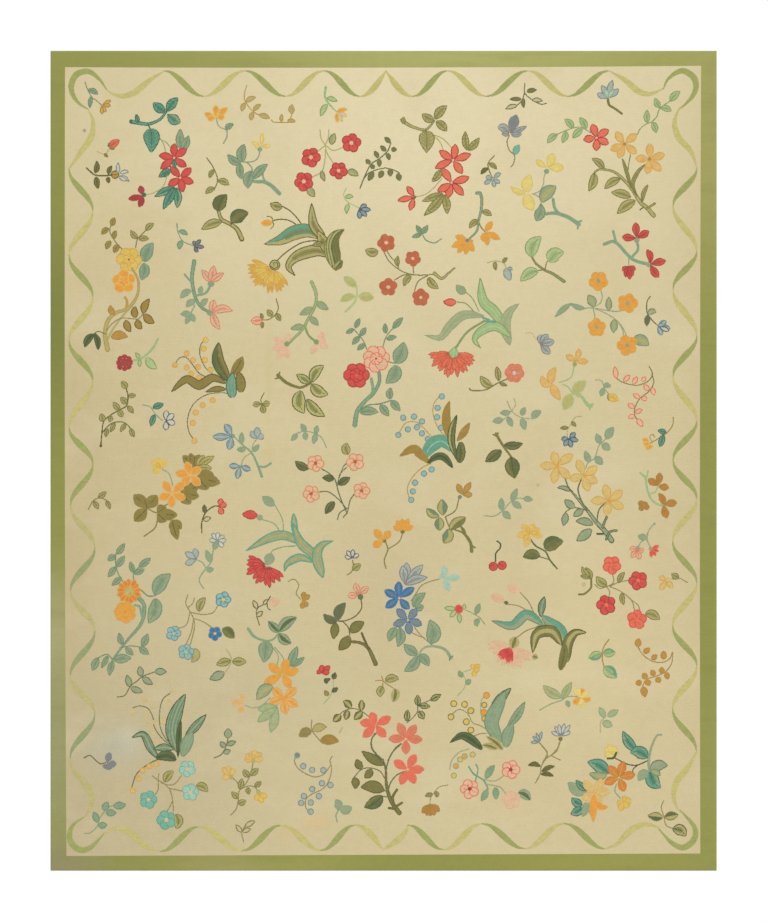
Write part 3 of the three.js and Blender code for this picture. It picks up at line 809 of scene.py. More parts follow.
spray("coralCarnation")
stems("leafGreen", (1.2, 457, 301.6, 465.7, 303.2, 474.6, 312), (1, 466, 292, 472.4, 298.2, 478.8, 311))
leaves("greenBlade", (11.6, 508.6, 332, 494, 311.5, 483, 300, 479.8, 277), fat=0.45, blunt=0.75)
leaves("sageBlade", (11, 509.7, 345, 505, 326, 509, 312, 519.4, 302.8), (9.8, 484, 315.7, 464, 314.6, 450,
    325.4, 440, 337, 424, 334.6), fat=0.42, blunt=0.75)
leaves("greenBlade", (10, 511, 337, 496, 326, 482, 330, 474.6, 339, 480.6, 348), fat=0.42, blunt=0.75)
stems("teal", (2.2, 483, 317.4, 489, 319.6), (2.2, 485, 320.8, 495, 321.4))
stems("leafGreen", (2.2, 484, 320.6, 467.4, 331.4, 457.4, 344.7, 454.1, 351.3))
leaves("freshTeal", (8.6, 465.9, 292.8, 458, 290, 456, 284.4))
leaves("coralStar", (8, 456.6, 301.8, 442.8, 301.4))
fan("coralCarnation", (452.6, 352), 25.2, 268, 168, 17, 4.6)
leaves("greenBlade", (10, 454.6, 345.6, 452.4, 357.6), fat=0.62)

spray("pinkAndRedRoses")
branch("tealLine", "seaTeal", 3.2, 377.8, 368, 379.4, 379.5, 374.5, 391.1, 364.6, 401, 357.1, 411, 354.6,
    424.6, endWidth=4.8)
stems("seaTeal", (3, 371.2, 378.6, 372.6, 391, 366, 400))
stems("tealLine", (1.1, 366.6, 349, 363.7, 341.4, 359.6, 335.6, 354, 329), (1.1, 382.6, 347, 385.2, 338,
    389.5, 331.4, 393, 328), (1.1, 387, 361, 395, 363), (1.3, 358, 411, 367.9, 404.8, 379.5, 403.4, 391,
    400))
leaves("greyTeal", (5.6, 354.8, 328, 360, 317.6), (5.2, 354, 328.6, 345.6, 333),
    (6, 360, 335.8, 366.2, 326.8), (6, 359.6, 335.8, 352, 344.4), (5.8, 365, 343.4, 357, 350),
    (5.6, 385.4, 333.4, 384.8, 322.8), (6.8, 392.6, 328.2, 403, 317), (5.8, 386, 338.8, 396.6, 336.2),
    (7.6, 390.4, 399, 386, 393, 391, 387), (8.2, 391, 399.6, 400.2, 410.6), (8.2, 380, 404, 389, 416),
    (9.2, 359.6, 412.4, 368, 407, 378.4, 411.8))
leaves("greyTealRibbed", (15, 395.4, 363, 404, 352, 404, 341.6), (14, 396.2, 364.6, 402, 376, 385.6, 383),
    fat=0.42)
rose("pinkRose", (375.9, 358.3), 13.4, 7, 10)
rose("redRose", (356.3, 374.9), 13, 6, 0, inner=0.6)

spray("strawLeavesDarkEdge", 0, 0)
stems("olive", (3.6, 277.9, 375.3, 287, 383, 298.6, 387.4, 305, 386, 310.7, 383.1), endWidth=2.2)
stems("olive", (1.6, 278.6, 378, 275.4, 378.6), (1.6, 279, 375.6, 279.6, 372.4))
leaves("strawDark", (9, 310.4, 383.1, 296.4, 374.1), (10.7, 311.4, 382.4, 310, 368, 324, 365.3),
    (12, 311.4, 383.9, 314, 396, 328.3, 394.6), (14, 300.7, 390.3, 290, 404, 304.3, 413.6),
    (11.4, 306.9, 398.9, 308, 412, 325, 416.7), fat=0.45)

spray("tealTwigLow")
stems("seaTeal", (1, 297, 433, 303.4, 430.9, 313.2, 432.4, 321.5, 437.5, 326.1, 447))
leaves("greyLeaf", (5.6, 297.4, 433, 291, 440.6), (6, 305.6, 432, 300.6, 423), (6, 305, 431.6, 306, 440),
    (5.6, 315.8, 433.6, 317, 424.6), (6.2, 315.6, 433, 313, 443.8))

spray("peachRoundFlowers", coral="terracotta")
stems("greyGreen", (1.2, 347, 513, 341.4, 500.6, 338, 490.6, 334.7, 479, 328.1, 472.4, 321.5, 468.6),
    (1, 337.2, 485.6, 339.7, 474, 346.4, 466.8), (1, 339, 477, 343.6, 465.6, 350, 461),
    (1.1, 319, 491.4, 328.1, 491.4, 338, 498.6, 346, 508), (1.1, 354, 493.6, 349.7, 500.6, 347.4, 511, 343,
    517), (1.1, 337.2, 519, 340, 512, 347, 508))
leaves("greenOlive", (8.6, 309, 468, 301, 470, 294.8, 460.6), (7.2, 333.9, 479, 322, 477),
    (8, 338, 484.4, 350.2, 477), (8.2, 334.4, 501, 325, 513.8))
leaves("lightOlive", (9.4, 348, 454.4, 342, 449, 346.4, 442))
rounds("pinkVeined", "deepCoral", (315.4, 462.9, 8.3), (355, 461.4, 8.8), (311, 493.4, 8.3),
    (361.4, 490.3, 8.3))

spray("blueBellsBronzeLeaves")
stems("ochre", (0.9, 448.3, 438.4, 439.2, 429.3, 433.4, 416, 433.4, 404.4, 438.6, 396.6),
    (0.9, 445.8, 440, 432.6, 436.7, 424.3, 428.4, 416, 421.6, 406, 422.4, 399.6, 431),
    (0.9, 430, 463, 421, 468, 411.8, 477.4, 407.2, 489, 410.4, 501))
berries("blueBell", 3.1, 441.7, 396.1, 437.4, 407.4, 436.9, 416.8, 440.7, 427.3, 398.1, 434.6, 403, 417.3,
    407.7, 428.9, 413.8, 416.3, 416.8, 426.8, 421.8, 421, 421.8, 432.9, 427.6, 438.7, 431.4, 469.1, 423.9,
    473.2, 414.8, 482.3, 412.7, 490.9, 411, 499.4)
leaves("bronzeFull", (9, 452, 446, 446.6, 426, 446.4, 412, 449.4, 400.2), fat=0.55, blunt=0.7)
leaves("bronzeFull", (7.6, 456.6, 441, 464.6, 433, 469.8, 422), fat=0.5)
leaves("tealAqua", (14, 453.6, 452, 442.5, 441, 431.6, 445, 422.6, 458.6), fat=0.55, blunt=0.6)
leaves("bronzeFull", (9, 431, 464, 421, 455, 413, 448.6, 399, 456), fat=0.5, blunt=0.75)
leaves("bottle", (7.6, 452.8, 467.4, 444, 457, 436, 456.4, 427, 463), fat=0.5, blunt=0.6)
leaves("darkStriped", (8, 457.6, 462, 451.6, 443, 452, 429, 456.8, 414), fat=0.55, blunt=0.75)
leaves("greenOlive", (9.6, 459, 462.6, 462.6, 452, 460.6, 441), fat=0.45, blunt=0.5)

spray("pinkFlowerOliveTwig")
stems("olive", (1.3, 469, 388.2, 472.4, 390.2, 485.6, 389.3, 497.3, 382.8, 509, 377.8))
leaves("lightOlive", (8.8, 492.4, 386, 484, 387, 480, 375.4), (6.8, 498.6, 380.6, 496.4, 365.8),
    (4, 499, 382.6, 507.4, 385.4))
rounds("pinkRound", "white", (514.2, 372.5, 9.4), count=6)

spray("forkedTealTwig")
stems("greyTeal", (0.9, 507, 401, 511.4, 411), (0.9, 513.8, 398, 515.4, 404.4, 512.2, 411, 520.5, 416.8,
    532.1, 418.4), (0.9, 511, 411, 507, 416, 503, 419.4))
leaves("greyLeaf", (6, 510.4, 411.8, 499.4, 412.4), (6.2, 507.4, 416, 512.4, 426.6),
    (6.6, 503.4, 419.2, 492, 421.2), (6, 521.4, 415.4, 525, 406.6), (7.2, 521.4, 417.4, 524.8, 429.8),
    (7.8, 532, 418.4, 533, 411, 541.4, 410.6))

spray("darkThreeLeafFork", 0, 0)
stems("olive", (3, 496.1, 433.9, 501.9, 443.9, 511.1, 456.7), endWidth=2)
stems("olive", (1.6, 496.4, 436, 493.3, 434.6), (1.6, 496.4, 436, 498, 433.1))
leaves("greenOlive", (8.6, 504, 444.6, 513, 450, 523, 443.4), (10.7, 501.6, 450.3, 485, 461.7),
    (15, 511.1, 456.7, 514.7, 478.6), fat=0.45)

spray("tealTwigMiddle")
stems("seaTeal", (1, 484, 515.2, 493.9, 515.6, 502.2, 510.5, 509.7, 502.2, 517.2, 498, 524, 498))
leaves("greyLeaf", (6.6, 501.6, 510.4, 501.4, 497), (7.2, 502.4, 511, 510.8, 518.6),
    (6.6, 511.2, 501, 517, 487.6), (6.8, 511.8, 500.8, 521.8, 508), (6.2, 523, 498, 533, 499.4))

spray("ochreFlowerTealLeaves", 0, 0, greyTeal="tealLine")
petals("bronze", 6.4, 462.4, 494.9, 457.4, 483.4, 471, 482, 472.7, 494.6)
dot("greyTeal", 2, (459.9, 497))
stems("olive", (1.2, 458.9, 499.1, 455.3, 510.6, 445.3, 517), (1.2, 445.3, 517, 448.9, 526.3),
    (1.2, 451.7, 528.4, 463.9, 533.4))
stems("olive", (2, 461, 526.3, 464.6, 533.4, 470.3, 542, 471.7, 551.3), endWidth=3.5)
stems("olive", (1.6, 471, 545, 475, 547.7))
leaves("greyTanHalf", (10.7, 443.1, 515.6, 442, 499.1), (8.5, 439.6, 516.3, 429.6, 517.7, 426.4, 508),
    (10, 439.6, 517, 439.6, 530.9), (10.7, 448.9, 527, 466, 518.4), (11.4, 448.1, 528.4, 453.9, 534.9,
    443.6, 543.4), fat=0.5)

spray("orangeRoundFlowers")
stems("greyTeal", (1.1, 600.3, 288.3, 602, 296.6, 599.5, 303.2, 592, 306.9),
    (1.1, 584.6, 307.9, 592.9, 307.5, 606.1, 309.9, 616.1, 311, 620.7, 310.3),
    (1.1, 592.9, 308.2, 594.2, 313.2, 594.9, 319.8), (1.1, 595.4, 308.5, 606.1, 313.2, 616.1, 319.8, 621.9,
    328.1, 623.5, 335.6), (1, 616.9, 319.8, 623.5, 328.9, 626.4, 335.6))
leaves("greyLeaf", (5.6, 585.4, 308.2, 577.9, 309.5, 569.3, 302.9), (6, 571, 302.9, 563.8, 306.5, 554.4,
    316.8))
leaves("greyTan", (9.6, 594.2, 306.2, 587.9, 294.3), (7, 608.6, 310.2, 608.6, 296.3),
    (8, 614.1, 318.8, 613.4, 332.7), (12, 632.3, 340, 641, 333.4, 648.9, 345))
rounds("orange", "greyTeal", (598.2, 280.5, 9.4), (627.4, 302.9, 9.8), (596.5, 326.9, 9),
    (626.9, 345, 10))

spray("blueBudTwig")
stems("darkOlive", (1.1, 650.1, 295.8, 646.8, 301.6, 646.8, 311.5, 650.9, 318.5, 657.2, 324.8))
leaves("greyTan", (6.4, 647.9, 313.7, 651.2, 306.5, 656.4, 311.8))
leaves("greyGreenLeaf", (6, 647.6, 314.2, 646.6, 326.1))
petals("skyPetal", 6, 657.5, 325.8, 666.3, 320.3, 661.7, 335.1, 670.5, 328.1, 663.3, 324.4)
petals("mauveOpen", 5, 658.4, 326.1, 669.2, 330.6)

spray("greyBlueFlower")
stems("hay", (0.9, 525.7, 332.7, 531.5, 332.6, 535.8, 338.9))
petals("lilyPale", 8, 539.8, 343.8, 541.5, 333.9, 548.1, 333.7, 554.4, 340.5, 550.1, 353.6)

spray("apricotFlowersFreshLeaves", 0, 0)
petals("apricot", 6.5, 576.4, 361.9, 565.7, 354.7, 579.3, 348.3, 588.6, 361.1)
dot("sage", 2.2, (574.7, 364.3))
stems("freshGreen", (1.2, 574.3, 366.1, 570.7, 377.6, 559.3, 382.6), (1.2, 563, 384.5, 568, 387, 571.6,
    392.4))
leaves("apricot", (9, 551.4, 384, 546, 374, 556.1, 366.9), (8, 550, 386.9, 538.6, 384, 542.1, 375.4),
    (9, 551.4, 384, 560.3, 400.4))
stems("freshGreen", (1.4, 572, 393.4, 582.1, 396.9))
leaves("strawLeaf", (11, 572.1, 392.6, 586.4, 380.4), (12, 571.4, 394, 563.6, 410.4),
    (6, 574.3, 392.6, 582.1, 396.9))
stems("freshGreen", (2.4, 582.1, 396.9, 587.1, 404, 590.7, 406.1), endWidth=4)
stems("freshGreen", (1.6, 589, 405, 592.9, 404), (1.6, 589, 405, 590, 409.4))

spray("yellowRosebudTwig")
stems("greyTeal", (1.1, 595.4, 379.5, 601.2, 380.3, 603.8, 386.5, 606.1, 390.3, 609.1, 394.4))
leaves("greyLeaf", (5.6, 603.2, 384.1, 611.1, 385.8), (5.8, 603.5, 387, 600.2, 396.1))
leaves("goldBud", (8.6, 608.1, 394.8, 618.4, 400.4))
stems("greyGreen", (0.9, 607.8, 394.1, 607.5, 397.4, 608.8, 400.1))

spray("coralOpenArcs")
stems("olive", (1, 648.9, 365.9, 652.2, 372.9, 649.3, 379.5, 642.6, 383.5, 634.3, 384.8, 622.7, 382, 616.1,
    377.8), (1, 651.7, 372.9, 653.4, 382.8, 648.4, 391.1, 639.3, 398.6, 634.7, 407.7, 634.7, 415.2, 637.6,
    420.1))
leaves("coralOpen", (5.8, 616.4, 378.2, 614.4, 365.6), (5.4, 623.5, 381.5, 630, 374.5),
    (5.4, 632.7, 383.8, 637.3, 375.9), (5, 642, 381.5, 645.6, 376.2), (5.6, 649.3, 389.8, 643.3, 384.1),
    (5.4, 651.9, 387, 654.2, 395.1), (5.4, 640.1, 397.7, 632.7, 393.4), (5.4, 641, 398.1, 647.6, 398.1),
    (5.6, 634.3, 408, 627.4, 403.1), (5.2, 634.7, 412.7, 642.6, 409), (5.4, 634.7, 415.2, 627.4, 417.3),
    (6.2, 636.8, 418.5, 642.6, 426.6))

spray("blueStarBell")
stems("lightOlive", (0.9, 582.1, 415.7, 575.5, 416.8, 571.3, 422.6, 567.2, 430.1, 567.2, 436.2))
leaves("lightOlive", (4.4, 568.3, 427.3, 559.7, 427.9), (4.4, 571, 421, 576, 426.3))
petals("starBlue", 5.6, 568.8, 437.9, 561, 439.2, 563.7, 445.8, 575.5, 432.2, 578.3, 440.2, 571.6, 447.2)

spray("yellowFlowerTealLeaves")
stems("bronze", (1, 673.3, 416.8, 672.5, 424.3, 667.5, 431.7, 659.2, 437.5, 650.1, 442.9),
    (0.8, 652.2, 441.2, 649.6, 436.7, 652.2, 433.9, 654.6, 436.6))
leaves("teal", (5.8, 666.3, 431.7, 657.2, 429.8), (6.8, 663.3, 433.9, 659.5, 446.8))
petals("orangeSoft", 6, 650.2, 443.3, 642.1, 437.9, 643, 443.8, 646.9, 449.5, 650.1, 448.3)

spray("yellowStarsGreyLeaves")
stems("seaTeal", (1, 585.4, 468.2, 587.9, 462.4, 594.5, 457.4, 597.8, 447.5, 600.3, 443.3, 606.1, 438.4))
leaves("greyLeaf", (7, 589.6, 462.4, 584.9, 450), (8, 594.9, 456.1, 602.8, 464.1),
    (7, 600.3, 443.3, 596.2, 432.9), (8, 601.5, 443.3, 610.1, 449.8), (9, 605.8, 438.9, 613.4, 426.3))
branch("bottle", "greyTeal", 1.8, 569.7, 489, 586.2, 508.9, 596.2, 521.8, 604.5, 530.4, 611.4, 540,
    endWidth=5.6)
stems("greyGreen", (1.4, 564.3, 476.5, 567.7, 485.6, 571.6, 491.4), (1.5, 581.3, 478.2, 577.9, 489, 581.3,
    500.6, 586.6, 508.9), (1.3, 605.3, 502.2, 598.7, 509.7, 596.7, 521.3), (1.1, 588.7, 510.5, 574.6,
    507.2, 567.2, 510.2, 563.8, 513.8))
branch("bottle", "greyTeal", 2.6, 602.5, 527.1, 604.1, 522.1, 606.5, 516.8)
branch("bottle", "greyTeal", 2.6, 606.1, 538.7, 609.5, 531.7, 616.1, 530.1)
stems("bottle", (2, 597, 533.4, 602.8, 533.7))
leaves("duskLeaf", (5, 570.5, 490.9, 563.8, 483.2, 556.4, 487.3), (8.4, 574.6, 507.5, 564.3, 499.2),
    (7.4, 566, 512.2, 563, 525.8), (7.6, 583.3, 508.9, 573, 516.2), (8.4, 593.2, 524.1, 583.7, 517.1,
    575.1, 520.8), (10, 591.5, 528.8, 576, 540.7))
petals("paleStar", 9, 557.2, 465.4, 539.8, 464.9, 552.7, 451.1, 573, 453.8, 569.7, 478.2, 553.4, 483.2,
    eye="gold")
petals("paleStar", 9, 584.2, 475.4, 577.1, 458.8, 596.8, 465.7, 597.3, 482.7, 588.7, 490.9, 569.3, 479,
    eye="gold")
petals("paleStar", 9, 608.6, 500.6, 604.5, 483.6, 622.4, 489.6, 624, 507.9, 606.1, 515.2, 590.4, 500.6,
    eye="gold")

spray("brownFlowersGreenStem")
stems("freshGreen", (1.9, 640.1, 472.4, 645.1, 477.3, 646.8, 487.3, 650.1, 497.2, 655.9, 503.1, 662.2,
    504.9), (1.5, 647.9, 470.4, 645.9, 479), (1.1, 649.3, 493.6, 655.1, 491.4, 657.5, 486.5))
petals("rustPetal", 7.4, 657.9, 485.6, 647.6, 478.7, 660, 472, 668.8, 487.3)
leaves("rustPetal", (7, 663.3, 504.2, 665, 497.2, 658.4, 492.6))
petals("rustPetal", 8, 663.3, 504.2, 677.1, 502.2, 666.8, 517.8)
petals("rustPetal", 6, 643.9, 504.9, 638.3, 500.9, 639.3, 510.2, 645.6, 500.9, 648.9, 508.5)

spray("pinkFlowersGreyTwigTop")
stems("greyTeal", (1.1, 654.2, 523.4, 648.4, 530.4, 646.8, 540.4))
dot("greyTeal", 1.3, (654.2, 523.4))
leaves("greyLeaf", (7, 646.8, 537.4, 637.6, 535.4))

spray("openFlowersSeaTwig")
stems("seaTeal", (1.2, 203.3, 587.9, 199.2, 581.3, 200, 576.3, 205.8, 568, 210.8, 561.4, 213.3, 548.1),
    (1.1, 205.8, 568, 202.5, 562.2, 197.2, 559.7))
leaves("greyLeaf", (6, 205.8, 570, 214.1, 568.8), (6.8, 211.1, 562.7, 205.5, 549.4),
    (6.4, 214.1, 549.4, 216.6, 540.1))
petals("openPetal", 5.4, 217.4, 540.6, 208.8, 539.5, 211.6, 532.8, 217.8, 531.5, 224.4, 534.8, 226.6,
    540.1, 223.7, 546.8)
petals("paleBlue", 7, 196.6, 559, 194.2, 547.8, 184.6, 551.7, 184.6, 563.7)

spray("orangeRosesGreyLeaves")
stems("tealLine", (1.1, 122.9, 581.3, 117.9, 573, 115.5, 563, 115.5, 553.4),
    (1.1, 133.7, 579.9, 133.4, 573, 139.5, 566.3), (1.3, 140.8, 589.6, 147.8, 595.4, 154.8, 595.4))
branch("tealLine", "seaTeal", 4.4, 138.8, 597.5, 144.1, 606.1, 141.2, 622.7, 126.2, 641, 112.1, 659.5,
    endWidth=1.6)
stems("seaTeal", (2.4, 134.9, 604.8, 139.5, 606.5, 141.8, 616.1))
stems("tealLine", (1.1, 119.6, 647.6, 129.6, 645.6, 142.5, 646.8), (1.1, 112.1, 658.4, 106.3, 653.9, 98,
    657.5))
leaves("greyTeal", (6.8, 116.3, 553.9, 124.6, 542.8), (6.8, 115.5, 554.7, 107.2, 560.4),
    (7, 116, 566.7, 124.6, 555.1), (6.8, 115.5, 566.3, 107.7, 576.9), (6.6, 121.6, 576.6, 111.3, 585.2),
    (6, 133.7, 572.6, 130, 561), (7.2, 138.7, 566.7, 150.6, 557.4), (6, 134.2, 573.8, 144.5, 568.5))
leaves("greyTealRibbed", (14.4, 154.4, 594.9, 156.1, 577.9, 170.7, 573.3), (14, 155.4, 597.5, 162.7, 607.8,
    148.3, 623.1))
leaves("greyTeal", (6.6, 122.1, 644.6, 118.8, 632.3), (7.6, 141.7, 646.6, 147.8, 633),
    (7.2, 138.7, 647.3, 149, 653.9), (6.6, 125.4, 646.9, 133.2, 654.9), (9.4, 113, 659.5, 131.5, 657.5),
    (7.8, 98, 657.2, 92.2, 670.5), (5.8, 107.7, 655.1, 101, 667.8), (6.8, 112.6, 660, 108.8, 675.5))
star("marigold", (128.7, 590.9), 12.6, 5.6, 13, fat=0.7, eye="straw", eyeSize=3.4)
rose("peachRose", (125, 611.8), 10.9, 7, 20)

spray("blueRoundFlowers", palePink="aqua")
stems("oliveStem", (1, 187.6, 594.5, 185.6, 602.8, 189.6, 610.8, 193.4, 618.4, 194.2, 627.7, 190.1, 644.3),
    (1, 194.2, 597.8, 192.6, 602.8, 187.9, 607), (1, 190.1, 611.9, 201.7, 613.9, 212.5, 612.4, 217.8,
    604.8), (1, 189.8, 610.8, 188.1, 619.4, 185.3, 625.2, 179, 627.7), (1, 193.4, 618.4, 191.2, 631, 185.9,
    643.9), (1, 193.4, 618.1, 202.5, 621.1, 212.1, 627.4))
leaves("lightOlive", (8.4, 198.4, 611.4, 195.9, 603.6, 205.3, 596.7))
leaves("darkHalf", (10.4, 221.6, 628.7, 227.4, 626.9, 234.4, 638))
leaves("tanSoft", (8, 194.4, 647.6, 204.3, 654.2, 191.2, 662.5))
rounds("blueRound", "yellow", (223.1, 599.2, 7.8))
rounds("deepBlueRound", "yellow", (214.8, 633.2, 7))
rounds("paleBlueRound", "palePink", (185.9, 651.4, 7.9), (173.5, 633, 7.5))

spray("oliveGreyTrefoil")
stems("lightOlive", (1.1, 226.1, 648.9, 230.7, 656.7, 229.9, 664.2, 225.4, 671.5))
leaves("lightOlive", (8.8, 230.7, 660.2, 215.8, 664.5), (8.8, 231.7, 661.2, 246.6, 661.5))
leaves("duskLeaf", (9.4, 224.4, 671.8, 209.2, 679.1))

spray("duskTwig")
stems("greyGreen", (1.1, 117.1, 696.5, 124.6, 694.9, 130.4, 685.7, 137.8, 679.9, 142.8, 675.8, 154.4,
    671.6))
leaves("duskLeaf", (7, 129.6, 686.6, 126.6, 674.1), (7, 130.4, 687.1, 142.8, 691.7),
    (7, 141.2, 676.1, 139.5, 665.5), (7, 142, 676.6, 152.8, 684.1), (7.4, 154.4, 671.6, 166.7, 671.1))

spray("redCarnation")
stems("seaTeal", (1.2, 295.4, 545.6, 283.8, 546.4, 273, 549.8, 270.2, 554.7),
    (1, 262.2, 519.1, 273.8, 523.2, 280, 531.8), (1, 274.7, 504.6, 282.1, 518.7, 283.1, 532))
leaves("greyLeaf", (9.4, 274.2, 505.3, 261.9, 495.7))
leaves("tealEdgeBlade", (10, 303.7, 544.8, 285.4, 535.2, 268.9, 537.8, 245, 550.7), fat=0.42, outline=1.5)
leaves("tealEdgeBlade", (7, 300, 549.8, 290.7, 528.2, 293.4, 512.9), fat=0.66, blunt=0.6, outline=1.5)
fan("redCarnation", (267, 564.3), 22.5, 236, 168, 13, 4.8)
leaves("greyLeaf", (10.4, 271.2, 552.7, 266.5, 565))
dot("greyTeal", 3, (259.7, 517.2))
leaves("red", (9.4, 257.6, 515.3, 241.7, 513.9))

spray("openTwigPinkBud")
stems("bottle", (1, 259.2, 624.4, 256.4, 614.4, 257.6, 607.5, 265.9, 602.5, 270.2, 595.9),
    (0.9, 266.9, 602.5, 267.5, 607.5, 270.2, 609.5))
leaves("darkOpen", (5.4, 257.2, 608.6, 252.9, 599.5), (5.4, 256.4, 616.1, 262.9, 610.8),
    (4.4, 263.1, 604.5, 267.5, 598.8))
leaves("fadedPink", (8.8, 268.9, 602, 280.1, 601.2))

spray("orangeStarsSeaLeaves")
stems("seaTeal", (3, 248.1, 628.5, 253.9, 636, 263.9, 640.1, 272.2, 639.3, 278.8, 632.7), endWidth=1.6)
stems("seaTeal", (1, 273, 647.3, 278, 655.9, 277.1, 664.2), (1, 274.7, 646.9, 282.1, 655.9, 284.1, 660.9))
leaves("seaDark", (8.8, 278.8, 632, 267.9, 620.7), (11.6, 278.8, 631.3, 283, 618.6, 296.7, 616.7),
    (10.6, 278.8, 633, 280.5, 641, 291.1, 643.3))
leaves("greyTealRibbed", (15, 265.9, 640.6, 263.9, 662.5), fat=0.36)
leaves("greyTealRibbed", (9, 289.1, 666.5, 292.1, 655.9, 297.4, 645.6), (6.4, 291, 666, 304.5, 656.5))
petals("orange", 9, 282.1, 674.1, 287.4, 658.5, 268.5, 663.2, 263.4, 682.8, 290.7, 687.4, 298.7, 668.8,
    eye="yellow")
leaves("greyTan", (12, 273, 685.4, 262.2, 684.1, 256.4, 699.7))
petals("peachStar", 9, 283.8, 697.7, 272.2, 687.4, 296.2, 687.1, 297.9, 706, 285.8, 714.3, 268.5, 704)
stems("greyTeal", (1, 244.8, 704.8, 252.3, 707.3, 262.2, 705, 269.7, 697.3))
petals("fadedCoral", 7, 244.3, 703.6, 229.6, 701.5, 239.8, 693.7, 238.3, 712.9)
petals("seaPale", 9.4, 277.5, 705.6, 257.6, 709.3, 257.2, 721.6, 270.5, 732.2)

spray("yellowBellsDarkBlades")
stems("greyGreen", (1, 132.9, 707.3, 139.5, 705.6, 147.8, 708.1, 152.8, 717.2, 154.4, 727.2, 162.7, 738.8,
    171.8, 745.1), (1, 171, 692, 162.7, 699, 159.4, 712.3, 160.2, 727.2, 166, 738.8, 173.5, 744.1))
berries("faintBell", 3, 172.7, 692, 168.5, 701.5, 144.5, 699.8, 132.9, 712.3, 146.1, 714.3, 152.8, 705.6,
    148.6, 723.5, 155.6, 721.4, 163.5, 720.9, 152.8, 731.5, 156.4, 740.5)

spray("redCarnationRight")
leaves("tealEdgeBlade", (10.5, 320.6, 573, 313.2, 554.7, 299.9, 541.5, 292.4, 521.6), fat=0.5, outline=1.5)
leaves("tealEdgeBlade", (11, 322.8, 577.6, 316.8, 556.4, 321.5, 544.8, 333.4, 540.3), fat=0.4, outline=1.5)
leaves("tealEdgeBlade", (8.6, 314, 562.2, 299.9, 557.2, 287.5, 563, 284.1, 571.6), fat=0.5, outline=1.5)

spray("greyBlueFlowerOliveLeaf")
stems("olive", (1, 347, 574.6, 351.3, 571.3, 353, 566.3, 352.6, 559.7))
leaves("lightOlive", (7.6, 352.1, 569.7, 360.9, 563.7))
petals("mauveOpen", 5, 352.3, 558, 344.3, 555.6, 346.3, 550.1, 353, 548.8, 358.8, 553.4)

spray("orangeYellowFlowers")
stems("olive", (1.2, 385.8, 568, 384.1, 559.7, 387.5, 549.8, 386.1, 543.1, 384.1, 540.6),
    (1, 387.5, 548.9, 398.6, 541.5, 402.4, 533.2))
dot("olive", 2.2, (384.1, 540.1), (402.4, 531.2))
petals("orange", 8, 383.2, 539.5, 374.2, 528.5, 389.8, 530.2, 373.2, 547.1)
petals("orange", 6.4, 402.4, 529.9, 392.8, 526.2, 396.1, 519.6, 401.9, 517.9, 408.5, 518.2, 413, 525.7)

spray("tealLeafOchreEnd", greyTeal="olive")
stems("olive", (1.6, 455.8, 529.9, 462.4, 532.3, 469.1, 541.5, 472.4, 550.6),
    (1.4, 461.1, 526.2, 464.4, 529.9, 465.4, 534))
leaves("greyTanHalf", (10, 449.2, 529.9, 455.5, 518.2, 465.7, 516.6))

spray("cherries")
stems("bottle", (1.5, 496.9, 540.8, 500.2, 543.4, 499.7, 548.1, 495.6, 553.1, 495.3, 561))
dot("deepRed", 4.6, (493.1, 566), (501.9, 565))
dot("red", 3.7, (493.1, 566), (501.9, 565))
stems("deepRed", (0.9, 489.3, 566.7, 493.1, 563.8, 493.9, 568), (0.9, 498.6, 562.7, 503.1, 566.3))

spray("blueStarsGreyLily", blue="deepBlue", skyBlue="blue")
stems("oliveStem", (1, 441.7, 577.9, 429.3, 581.3, 421, 585.4, 416, 592.9, 411, 600.3),
    (1, 410.7, 631.8, 417.6, 635.2, 422.6, 636.8), (1, 414.3, 626.9, 421, 635.2, 431.7, 644.3))
stems("greyTeal", (1.6, 418.5, 654.2, 422.6, 648.4, 429.3, 645.9, 439.2, 646.8, 445.8, 650.1, 450.8,
    657.5), endWidth=3.4)
stems("tealLine", (1.6, 449.5, 659.5, 450.1, 656.7, 452.5, 655.9))
petals("lilyPale", 9, 404.7, 584.2, 406.4, 561.7, 402.4, 565, 423, 564.3)
leaves("lilyPale", (9.4, 404.7, 584.2, 412.7, 575.5, 427.6, 576.9))
petals("blueStar", 8.4, 399.1, 597.5, 398.4, 580.6, 384.1, 589.6, 385.1, 607.5, 409.4, 608.8, 414.3, 586.9,
    eye="palePink")
leaves("greyTealRibbed", (9.4, 413, 607, 412.7, 597.8, 425.3, 592.2), (8, 414.7, 607.5, 417.6, 609.5,
    423.6, 605.1))
petals("blueMauveStar", 8.4, 407.7, 619.7, 396.4, 608.1, 416.7, 608.1, 422, 624.7, 409, 634.3, 392.8,
    624.7, eye="yellow")
leaves("greyTealRibbed", (9.4, 396.1, 626.9, 389.5, 632.7, 388.6, 641.3), (10, 399.7, 626.9, 405.2, 639.3,
    397.4, 646.6))
leaves("greyTealRibbed", (15, 430.2, 643.6, 441.7, 632.7, 429.6, 619.1), fat=0.42)
leaves("greyTealRibbed", (10, 417.6, 654.2, 406, 649.3, 403.5, 643.6), (10.6, 418, 655.1, 419.3, 667.5,
    404, 671.1), (9.6, 418.3, 654.6, 425.9, 655.1, 428.9, 665.8))
petals("aquaPetal", 6.6, 443.8, 577.6, 444.2, 565, 460.1, 576.6, 449.2, 590.9, 439.2, 574.6)

